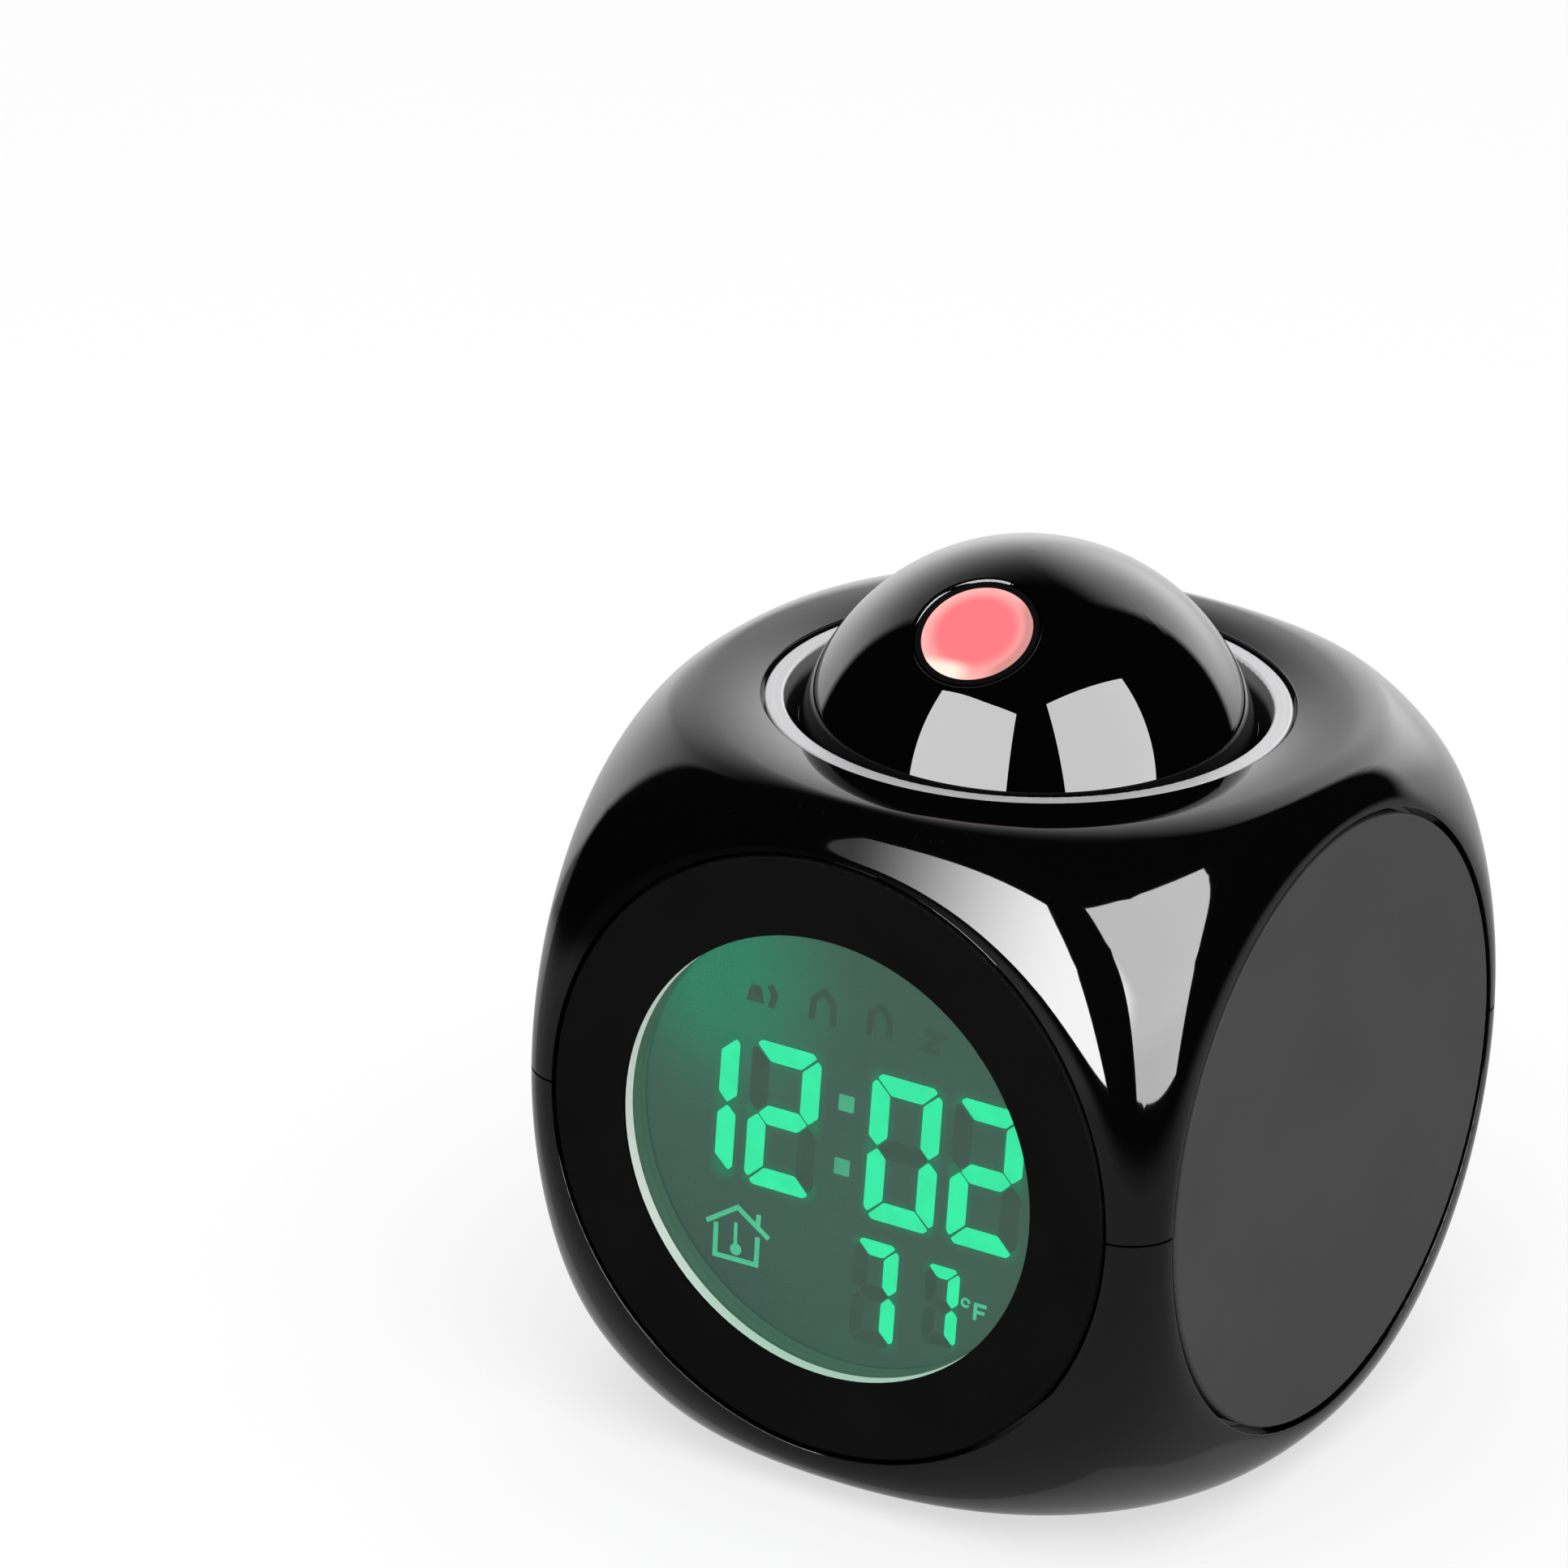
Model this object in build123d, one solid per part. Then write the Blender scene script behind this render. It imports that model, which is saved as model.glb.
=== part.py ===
"""Projection alarm clock: a rounded cube case with a round display window in front, a blank
disc in each side, a key and speaker panel at the back, a battery bay under it, and a dome
on top that presses down and turns, with a small time projector inside.

Frame: millimetres, +Z up, front towards -Y. The origin is on the resting plane, below the
middle of the case.
"""
import os
from math import cos, pi, radians, sin, sqrt

from build123d import *

# ------------------------------------------------------------------ case
CASE_SIZE = 80.0           # flat to flat, all three ways
FLAT_CUT = 10.0            # what each flat takes off the rounded blank
CORNER_ROUND = 41.5        # radius of the blank's edges and corners
CREASE_ROUND = 1.0         # softened edge round every flat
WALL = 2.0
SEAM_GROOVE = 0.25         # hairline round the joint of the two shells
FOOT_PROUD = 1.0           # what the feet stand below the case

# ------------------------------------------------------------------ discs in the four sides
DISC_LAND = 0.62           # narrowest rim of case left round a disc's recess
DISC_THICK = 2.0
FRONT_DISC_GAP = 0.45      # shadow gap round the front bezel
SIDE_DISC_GAP = 0.75       # shadow gap round the other three
SEAT_WIDTH = 3.9           # ledge that carries a disc
SEAT_THICK = 1.5
SEAT_SPREAD = 1.1          # how far the ledge runs on into the wall
DISC_EDGE_ROUND = 0.3

# ------------------------------------------------------------------ display
BEZEL_WIDTH = 8.9          # from the bezel's edge to its window hole
BEZEL_LIP = 0.4            # thin front edge of the bezel at its hole
SURROUND_DEPTH = 1.4       # pale ring that lines the hole
SURROUND_PLAY = 0.55       # pale ring to the ledge round it
WINDOW_THICK = 1.0
FIT = 0.1                  # radial play of pieces that drop into place
LCD_LAP = 0.95             # display beyond the window's edge
LCD_DEPTH = 5.0            # display face behind the bezel's face
LCD_THICK = 2.2
BACKLIGHT_THICK = 1.6
ZEBRA_HEIGHT = 4.0
ZEBRA_INSET = 3.5
MODULE_RIM = 3.5           # display frame round the display
MODULE_DEPTH = 10.0        # back of the display frame behind the bezel's face
POCKET_PLAY = 0.2
BOARD_THICK = 1.6
BOARD_LAP = 0.5            # clock board below the display
BOARD_UNDER = 2.0          # clock board's top edge below the dome's well
BOARD_SCREW_SIDE = 1.6     # its screws, in from its sides
BOARD_SCREW_END = 4.0      # and from its ends
CLOCK_CHIP = 12.0
CLOCK_CHIP_RISE = 4.0      # components above the board's middle
CHIP_THICK = 1.8
CHIP_INSET = 3.0           # middle of the voice chip and crystal, in from the case's boss
VOICE_CHIP = 7.0
VOICE_CHIP_DROP = 3.0
CRYSTAL_LENGTH = 8.0
CRYSTAL_THICK = 2.4
CRYSTAL_DROP = 10.0
CAPACITOR_RADIUS = 2.0
CAPACITOR_LENGTH = 5.0
CAPACITOR_PITCH = 5.5
CAPACITOR_RISE = 16.0
SENSOR_RISE = 3.0          # above the board's lower edge
SENSOR_REACH = 5.0
SENSOR_RADIUS = 1.5
SENSOR_LEG = 0.3
SENSOR_LEG_SIDE = 0.8

# ------------------------------------------------------------------ dome and its ring
WELL_GAP = 0.5             # display's frame to the dome's well behind it
DOME_DROP = 8.5            # dome's centre below the top flat
DOME_WALL = 2.0
DOME_PARTING = 6.0         # joint of the dome's two shells above its centre, hidden by the ring
DOME_SKIRT = 6.5           # dome's floor below its centre
DOME_HUB_RADIUS = 5.0
DOME_HUB_HEIGHT = 2.2
PARTING_GROOVE = 0.15
PARTING_GROOVE_DEPTH = 0.2
RING_GAP = 0.35            # dome to ring at the ring's foot
RING_WALL = 2.7
RIM_WIDTH = 2.1            # flat rim of the ring
RIM_HEIGHT = 2.0
RIM_SUNK = 0.3             # rim below the top flat
RIM_ROUND = 0.35
RING_DEPTH = 6.0
RING_SHADOW = 0.45         # gap round the ring
RING_LEDGE = 0.65
WELL_WALL = 1.5
CARRIER_GAP = 0.4          # carrier to well
CARRIER_WALL = 1.2
CARRIER_FLOOR = 2.0
CARRIER_STOP = 0.15        # carrier's rim to the ring above it
PRESS_TRAVEL = 1.5
DOME_SCREW_LENGTH = 7.1
WASHER_THICK = 1.0
WASHER_RADIUS = 7.0
SPRING_ROOM = 5.0
SPRING_RADIUS = 5.0
SPRING_WIRE = 0.35
SPRING_TURNS = 4
BRACKET_THICK = 2.0
BRACKET_WIDTH = 26.0
BRACKET_ROUND = 3.0
LUG_RADIUS = 2.6
LUG_BITE = 1.0             # how far a lug sinks into the well's wall
LUG_TURN = 13.0            # lugs either side of the X axis
LUG_HEIGHT = 6.0
LEG_INSET = 7.6            # carrier's edge to the legs that stop it turning
LEG_THICK = 2.0
LEG_WIDTH = 5.0
LEG_LENGTH = 9.5
LEG_PLAY = 0.4
TALK_SWITCH_GAP = 3.0      # talk switch to the leg beside it

# ------------------------------------------------------------------ projector, along the lens axis
LENS_TILT = 32.8           # from the vertical
LENS_TURN = 4.3            # from the front, towards +X
LENS_HOLE = 6.9
LENS_BOSS = 1.4
LENS_BOSS_DEPTH = 4.0
LENS_EASE = 0.45           # rounded rim of the hole
BARREL_WALL = 0.65
BARREL_SUNK = 0.2          # barrel's mouth below the rim of its hole
LENS_EDGE = 1.6
LENS_CROWN = 0.9           # the lens's face follows the dome
PROJECTOR_BOARD_AT = 2.4   # from the dome's centre
PROJECTOR_BOARD_RIM = 0.15 # board beyond the barrel that stands on it
PROJECTOR_BOARD_THICK = 1.4
LED_RADIUS = 2.5
LED_HEIGHT = 3.4
LED_GAP = 1.4              # lamp to the condenser
CONDENSER_THICK = 2.2
FILM_GAP = 1.2             # condenser to the film
FILM_THICK = 0.8

# ------------------------------------------------------------------ back: keys, switch, speaker
REAR_SUNK = 0.8            # rear panel behind the back flat
REAR_PLUG = 1.2            # thicker middle of the rear panel
KEY_RADIUS = 3.4
KEY_GAP = 0.2
POST_CLEAR = 0.5           # key flange to the post beside it
KEY_RISE = 6.0             # above the case's middle
KEY_TRAVEL = 0.8
KEY_FLANGE = 1.2
KEY_FLANGE_WIDTH = 0.9
KEY_DOME = 0.3
KEY_STEM = 1.2
POST_RADIUS = 2.2
POST_SKIN = 0.6            # left between a post's pilot hole and the panel's face
KEY_BOARD_GAP = 3.6        # rear panel to key board
KEY_BOARD_SIDE = 4.0       # key board beyond the outer keys
KEY_BOARD_UNDER = 4.5      # below the keys
KEY_BOARD_OVER = 5.0       # above the slide switch
KEY_BOARD_ROUND = 2.0
SWITCH_RISE = 20.0
SWITCH_TRAVEL = 3.0
SWITCH_BODY = (10.0, 5.0, 2.6)
KNOB_SIZE = 3.0
KNOB_PROUD = 0.5
KNOB_ROUND = 0.3
KNOB_GROOVE = 0.3
KNOB_GROOVE_DEPTH = 0.2
KNOB_GROOVE_PITCH = 0.8
TACT_SIZE = 6.0
TACT_STEM = 1.7
TACT_STEM_HEIGHT = 0.5
SPEAKER_EDGE = 3.0         # speaker to the ledge below it
SPEAKER_UNDER = 6.0        # speaker below the row of keys
SPEAKER_TAPER = 3.0
SPEAKER_DEPTH = 3.8
SPEAKER_LIP = 2.5
SPEAKER_FLANGE = 1.0
BASKET_WALL = 0.8
CONE_EDGE = 0.1            # cone's edge inside the basket's lip
CONE_THICK = 0.4
CONE_FRONT = 0.3
CONE_NECK = 4.5
CONE_NECK_DEPTH = 2.2
CONE_CAP = 3.0
CONE_CAP_DEPTH = 1.1
MAGNET_RADIUS = 8.0
MAGNET_DEPTH = 3.0
GRILLE_HOLE = 1.0
GRILLE_PITCH = 5.0
GRILLE_RING_COUNT = 2
GRILLE_FIRST_COUNT = 6     # holes in the first ring; the next has as many more

# ------------------------------------------------------------------ underside
CELL_RADIUS = 5.25         # AAA
CELL_LENGTH = 44.5
CELL_NUB = 0.8
CELL_NUB_RADIUS = 1.9
CELL_ROUND = 0.4
CELL_COUNT = 3
CELL_PLAY = 0.4
CONTACT_ROOM = 2.2         # each end of the cells
PLATE_THICK = 0.4
PLATE_SIZE = 8.0
PLATE_BUTTON_EDGE = 0.4    # button beyond the cell's nub
CONTACT_SPRING_RADIUS = 3.2
CONTACT_SPRING_TURNS = 1.5
CONTACT_WIRE = 0.28
BAY_LEDGE = 1.8
BAY_SIDE = 1.2
BAY_ROOF = 1.5
DOOR_THICK = 1.6
DOOR_GAP = 0.3
DOOR_SEAT = 0.1
DOOR_CORNER = 0.4
GRIP_COUNT = 4             # finger grooves by the latch
GRIP_AT = 6.0
GRIP_PITCH = 2.0
GRIP_WIDTH = 0.8
GRIP_DEPTH = 0.4
GRIP_LENGTH = 12.0
LATCH_WIDTH = 7.2
LATCH_HEIGHT = 2.8
LATCH_THICK = 0.8
TAB_AT = 9.5
TAB_WIDTH = 3.0
TAB_HEIGHT = 0.9
TAB_LENGTH = 1.0
FOOT_RADIUS = 4.0
FOOT_POCKET = 0.6
FOOT_ROUND = 0.3
FOOT_INSET = 1.1           # foot to the edge of the bottom flat
FOOT_TURN = 25.3           # feet either side of the Y axis
BOSS_RADIUS = 4.0
BOSS_CLEAR = 0.2           # boss to the board's screw heads in front of it
CASE_SCREW_LENGTH = 13.0
CASE_SCREW_SEAT = 6.0      # head's seat below the seam
RIB_THICK = 2.0
RIB_SIDE = 9.5             # lower ribs that back the clock board

# ------------------------------------------------------------------ fasteners and wires
SCREW_FIT = 0.05           # radial play of a shank in its pilot hole
CASE_SHANK = 1.2
CASE_HEAD = 2.4
SMALL_SHANK = 0.8
SMALL_HEAD = 1.3
HEAD_HEIGHT = 1.2
CASE_HEAD_HEIGHT = 1.6
CROSS_SLOT = 0.6
CROSS_SLOT_LENGTH = 4.0
CROSS_SLOT_DEPTH = 0.7
BITE = 0.1                 # overlap where two shapes of one piece are joined
PILOT_SPARE = 1.0          # pilot hole beyond the screw's end
WIRE_RADIUS = 0.5
WIRE_PITCH = 1.6
WIRE_STANDOFF = 3.0        # leads from the wall that they come out of
LEAD_RISE = 8.0            # battery leads reach the clock board this far below the middle
LEAD_INSET = 6.0           # and turn in this far from the bosses
CABLE_SIDE = 16.0          # board cable, left of the middle
CABLE_DIP = 8.0
CABLE_RUN = 7.0
CABLE_RISE = 2.5           # above the key board's lower edge
SPEAKER_LEAD_TURN = 1.5
SPEAKER_TAG = 1.0          # leads' tags beyond the magnet
PROJECTOR_LEAD_CLEAR = 1.5 # to the clock chip beside it
PROJECTOR_LEAD_DROP = 8.0
PROJECTOR_LEAD_RUN = 9.0

# ------------------------------------------------------------------ places that follow
HALF = CASE_SIZE / 2
BASE_Z = FOOT_PROUD
MIDDLE_Z = BASE_Z + HALF
TOP_Z = BASE_Z + CASE_SIZE
FLAT_HALF = HALF + FLAT_CUT - CORNER_ROUND + sqrt(CORNER_ROUND**2 - (CORNER_ROUND - FLAT_CUT) ** 2)
RECESS_RADIUS = FLAT_HALF - DISC_LAND
FRONT_DISC_RADIUS = RECESS_RADIUS - FRONT_DISC_GAP
SIDE_DISC_RADIUS = RECESS_RADIUS - SIDE_DISC_GAP
SEAT_INNER = RECESS_RADIUS - SEAT_WIDTH
SEAT_OUTER = RECESS_RADIUS + SEAT_SPREAD
SEAT_Y = HALF - DISC_THICK

WINDOW_RADIUS = FRONT_DISC_RADIUS - BEZEL_WIDTH
SURROUND_RADIUS = SEAT_INNER - SURROUND_PLAY
LCD_SIZE = 2 * (WINDOW_RADIUS + LCD_LAP)
LCD_LOW = MIDDLE_Z - LCD_SIZE / 2
LCD_HIGH = MIDDLE_Z + LCD_SIZE / 2
MODULE_SIZE = LCD_SIZE + 2 * MODULE_RIM
WINDOW_Y = -HALF + BEZEL_LIP + SURROUND_DEPTH
FRAME_Y = WINDOW_Y + WINDOW_THICK
LCD_Y = -HALF + LCD_DEPTH
BACKLIGHT_Y = LCD_Y + LCD_THICK
MODULE_Y = -HALF + MODULE_DEPTH
BOARD_Y = MODULE_Y + BOARD_THICK

WELL_OUTER = HALF - MODULE_DEPTH - WELL_GAP
WELL_INNER = WELL_OUTER - WELL_WALL
RING_OUTER = WELL_INNER + RING_LEDGE
RING_INNER = RING_OUTER - RING_WALL
DOME_RADIUS = RING_INNER - RING_GAP
DOME_Z = TOP_Z - DOME_DROP
RING_TOP = TOP_Z - RIM_SUNK
RING_SEAT = RING_TOP - RIM_HEIGHT
RING_FOOT = RING_TOP - RING_DEPTH
TOP_OPENING = RING_OUTER + RING_SHADOW
COLLAR_OUTER = TOP_OPENING + WELL_WALL
CARRIER_OUTER = WELL_INNER - CARRIER_GAP
CARRIER_INNER = CARRIER_OUTER - CARRIER_WALL
LEG_SIDE = CARRIER_OUTER - LEG_INSET
DOME_FLOOR_Z = DOME_Z - DOME_SKIRT
CARRIER_TOP_Z = DOME_FLOOR_Z - WASHER_THICK
CARRIER_Z = CARRIER_TOP_Z - CARRIER_FLOOR
BRACKET_TOP = CARRIER_Z - SPRING_ROOM
BRACKET_Z = BRACKET_TOP - BRACKET_THICK
BOARD_LOW = LCD_LOW - BOARD_LAP
BOARD_HIGH = BRACKET_TOP - BOARD_UNDER
BOARD_MIDDLE = (BOARD_LOW + BOARD_HIGH) / 2
BOARD_SCREWS = [
    (side * (MODULE_SIZE / 2 - BOARD_SCREW_SIDE), height)
    for side in (-1, 1)
    for height in (BOARD_LOW + BOARD_SCREW_END, BOARD_HIGH - BOARD_SCREW_END)
]
BARREL_OUTER = LENS_HOLE - FIT
BARREL_INNER = BARREL_OUTER - BARREL_WALL
LENS_RIM = sqrt(DOME_RADIUS**2 - LENS_HOLE**2)
BARREL_TOP = LENS_RIM - BARREL_SUNK
PROJECTOR_TOP = PROJECTOR_BOARD_AT + PROJECTOR_BOARD_THICK
PROJECTOR_BOARD_RADIUS = BARREL_OUTER + PROJECTOR_BOARD_RIM
CONDENSER_AT = PROJECTOR_TOP + LED_HEIGHT + LED_GAP
FILM_AT = CONDENSER_AT + CONDENSER_THICK + FILM_GAP
AIM = Vector(
    sin(radians(LENS_TILT)) * sin(radians(LENS_TURN)),
    -sin(radians(LENS_TILT)) * cos(radians(LENS_TURN)),
    cos(radians(LENS_TILT)),
)

REAR_Y = HALF - REAR_SUNK
REAR_INNER_Y = SEAT_Y - REAR_PLUG
KEY_Z = MIDDLE_Z + KEY_RISE
KEY_PITCH = 2 * (KEY_RADIUS + KEY_FLANGE_WIDTH + POST_RADIUS + POST_CLEAR)
KEY_PLACES = [(step - 1.5) * KEY_PITCH for step in range(4)]
KEY_BOARD_Y = REAR_INNER_Y - KEY_BOARD_GAP
KEY_BOARD_BACK = KEY_BOARD_Y - BOARD_THICK
KEY_BOARD_HALF = KEY_PLACES[-1] + KEY_BOARD_SIDE
SWITCH_Z = MIDDLE_Z + SWITCH_RISE
KEY_BOARD_LOW = KEY_Z - KEY_BOARD_UNDER
KEY_BOARD_HIGH = SWITCH_Z + KEY_BOARD_OVER
SPEAKER_TOP = KEY_Z - SPEAKER_UNDER
SPEAKER_LOW = MIDDLE_Z - SEAT_INNER + SPEAKER_EDGE
SPEAKER_RADIUS = (SPEAKER_TOP - SPEAKER_LOW) / 2
SPEAKER_BACK = SPEAKER_RADIUS - SPEAKER_TAPER
SPEAKER_Z = SPEAKER_TOP - SPEAKER_RADIUS
POSTS = [(side * KEY_PITCH, height) for side in (-1, 1) for height in (KEY_Z, SWITCH_Z)]

CELL_PITCH = 2 * CELL_RADIUS + CELL_PLAY
CELL_Z = BASE_Z + DOOR_THICK + CELL_PLAY + CELL_RADIUS
CELL_ROWS = [(row - (CELL_COUNT - 1) / 2) * CELL_PITCH for row in range(CELL_COUNT)]
BAY_HALF_X = CELL_LENGTH / 2 + CONTACT_ROOM
BAY_HALF_Y = CELL_COUNT * CELL_PITCH / 2 + FIT
BAY_TOP = CELL_Z + CELL_RADIUS + DOOR_GAP
DOOR_HALF_X = BAY_HALF_X + BAY_LEDGE - DOOR_GAP
DOOR_HALF_Y = BAY_HALF_Y + BAY_LEDGE - DOOR_GAP
DOOR_TOP = BASE_Z + DOOR_THICK
LEDGE_Z = DOOR_TOP + DOOR_SEAT
CASE_SCREW_Z = MIDDLE_Z - CASE_SCREW_SEAT
BOSS_SIDE = -BOARD_Y - HEAD_HEIGHT - BOSS_CLEAR - BOSS_RADIUS
BOSSES = [(x * BOSS_SIDE, y * BOSS_SIDE) for x in (-1, 1) for y in (-1, 1)]
CHIP_COLUMN = BOSS_SIDE - BOSS_RADIUS - CHIP_INSET
FOOT_REACH = FLAT_HALF - FOOT_RADIUS - FOOT_INSET
FOOT_SIDE = FOOT_REACH * sin(radians(FOOT_TURN))
FOOT_BACK = FOOT_REACH * cos(radians(FOOT_TURN))
FEET = [(x * FOOT_SIDE, y * FOOT_BACK) for x in (-1, 1) for y in (-1, 1)]
LUG_REACH = WELL_OUTER + LUG_RADIUS - LUG_BITE
LUG_X = LUG_REACH * cos(radians(LUG_TURN))
LUG_Y = LUG_REACH * sin(radians(LUG_TURN))
LUGS = [(x * LUG_X, y * LUG_Y) for x in (-1, 1) for y in (-1, 1)]

PAST = 1.0                 # how far a cutting shape runs past what it cuts
NEAR = 0.01                # edges this close to a level lie at it
TANGENT_SHARE = 0.45       # of a lead's shorter run, taken by the arc at a corner
ALONG_X = Vector(1, 0, 0)
ALONG_Y = Vector(0, 1, 0)
ALONG_Z = Vector(0, 0, 1)


# ------------------------------------------------------------------ small helpers
def block(x0, x1, y0, y1, z0, z1):
    """A box between two corners."""
    middle = Location(((x0 + x1) / 2, (y0 + y1) / 2, (z0 + z1) / 2))
    return middle * Box(abs(x1 - x0), abs(y1 - y0), abs(z1 - z0))


def post(radius, z0, z1, x=0.0, y=0.0):
    """A round bar along Z."""
    return Location((x, y, (z0 + z1) / 2)) * Cylinder(radius, abs(z1 - z0))


def disc(radius, y0, y1, x=0.0, z=MIDDLE_Z):
    """A round bar along Y."""
    return Location((x, (y0 + y1) / 2, z), (90, 0, 0)) * Cylinder(radius, abs(y1 - y0))


def side_disc(radius, x0, x1):
    """A round bar along X, at the height of the case's middle."""
    return Location(((x0 + x1) / 2, 0, MIDDLE_Z), (0, 90, 0)) * Cylinder(radius, abs(x1 - x0))


def spun(points, axis=Axis.Z):
    """A ring or disc turned from half of its section, drawn in the XZ plane."""
    return revolve(make_face(Polyline(*[(x, 0, z) for x, z in points], close=True)), axis)


def along_lens(shape):
    """Carries a shape built up from the origin along +Z to the dome's lens axis."""
    return Plane(origin=(0, 0, DOME_Z), x_dir=(1, 0, 0), z_dir=AIM).location * shape


def wire(points, radius=WIRE_RADIUS):
    """A round lead along straight runs with an arc at each corner."""
    runs = [(Vector(b) - Vector(a)) for a, b in zip(points, points[1:])]
    radii = []
    for before, after in zip(runs, runs[1:]):
        half_turn = radians(before.get_angle(after)) / 2
        radii.append(TANGENT_SHARE * min(before.length, after.length) * cos(half_turn) / sin(half_turn))
    path = FilletPolyline(*points, radius=radii)
    start = Plane(origin=path @ 0, z_dir=path % 0)
    return sweep(start * Circle(radius), path=path)


def coil(radius, wire_radius, z0, z1, turns):
    """A helical spring between two heights, its wire just inside them."""
    low = z0 + wire_radius
    rise = z1 - wire_radius - low
    path = Location((0, 0, low)) * Helix(rise / turns, rise, radius)
    start = Plane(origin=path @ 0, z_dir=path % 0)
    return sweep(start * Circle(wire_radius), path=path, is_frenet=True)


def eased(shape, way, level, radius):
    """Rounds the round edges that lie at one level along a direction."""
    rims = [edge for edge in shape.edges() if abs((edge @ 0.3).dot(way) - level) < NEAR]
    return fillet(rims, radius)


def joined(shapes):
    """Separate solids kept together in one node."""
    return Compound(children=[solid for shape in shapes for solid in shape.solids()])


def case_blank(inset):
    """The case's outer form, or the same form set in by a wall."""
    size = CASE_SIZE - 2 * inset
    blank = Box(*[size + 2 * FLAT_CUT] * 3)
    blank = fillet(blank.edges(), CORNER_ROUND - inset)
    return Location((0, 0, MIDDLE_Z)) * (blank & Box(size, size, size))


def softened_case():
    """The outer form with the edge round every flat softened."""
    form = case_blank(0)
    flats = form.faces().filter_by(GeomType.PLANE)
    return fillet([edge for flat in flats for edge in flat.edges()], CREASE_ROUND)


# ------------------------------------------------------------------ the two shells
def case_walls():
    """Both shells as one, before they are cut apart at the seam."""
    outer = softened_case()
    walls = outer - case_blank(WALL)
    seat_back = SEAT_Y - SEAT_THICK
    seats = disc(SEAT_OUTER, -SEAT_Y, -seat_back) + disc(SEAT_OUTER, seat_back, SEAT_Y)
    seats += side_disc(SEAT_OUTER, -SEAT_Y, -seat_back) + side_disc(SEAT_OUTER, seat_back, SEAT_Y)
    walls += seats & outer
    walls -= disc(RECESS_RADIUS, -HALF - WALL, -SEAT_Y) + disc(RECESS_RADIUS, SEAT_Y, HALF + WALL)
    walls -= side_disc(RECESS_RADIUS, -HALF - WALL, -SEAT_Y)
    walls -= side_disc(RECESS_RADIUS, SEAT_Y, HALF + WALL)
    walls -= disc(SEAT_INNER, -HALF, -seat_back + WALL) + disc(SEAT_INNER, seat_back - WALL, HALF)
    groove = block(-HALF, HALF, -HALF, HALF, MIDDLE_Z - SEAM_GROOVE / 2, MIDDLE_Z + SEAM_GROOVE / 2)
    return walls - (groove - case_blank(SEAM_GROOVE)), outer


def upper_shell(walls):
    """Top half: the dome's well, four screw bosses, lugs for the bracket, ribs."""
    shell = walls & block(-HALF, HALF, -HALF, HALF, MIDDLE_Z, TOP_Z)
    inside = case_blank(WALL / 2)
    well = post(WELL_OUTER, BRACKET_TOP, RING_SEAT) + post(COLLAR_OUTER, RING_SEAT - WELL_WALL, TOP_Z)
    for x, y in BOSSES:
        well += post(BOSS_RADIUS, MIDDLE_Z, TOP_Z, x, y)
    for x, y in LUGS:
        well += post(LUG_RADIUS, BRACKET_TOP, BRACKET_TOP + LUG_HEIGHT, x, y)
    for side in (-1, 1):
        middle = side * (BOSS_SIDE + RIB_THICK)
        well += block(middle - RIB_THICK / 2, middle + RIB_THICK / 2, MODULE_Y, -BOSS_SIDE,
                      BRACKET_TOP, TOP_Z)
    shell += well & inside
    shell -= post(TOP_OPENING, RING_SEAT, TOP_Z + PAST) + post(WELL_INNER, BRACKET_TOP - PAST, TOP_Z)
    pilot_top = CASE_SCREW_Z + CASE_SCREW_LENGTH + PILOT_SPARE
    for x, y in BOSSES:
        shell -= post(CASE_SHANK + SCREW_FIT, MIDDLE_Z - PAST, pilot_top, x, y)
    for x, y in LUGS:
        shell -= post(SMALL_SHANK + SCREW_FIT, BRACKET_TOP - PAST, BRACKET_TOP + LUG_HEIGHT - PILOT_SPARE,
                      x, y)
    return shell


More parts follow.
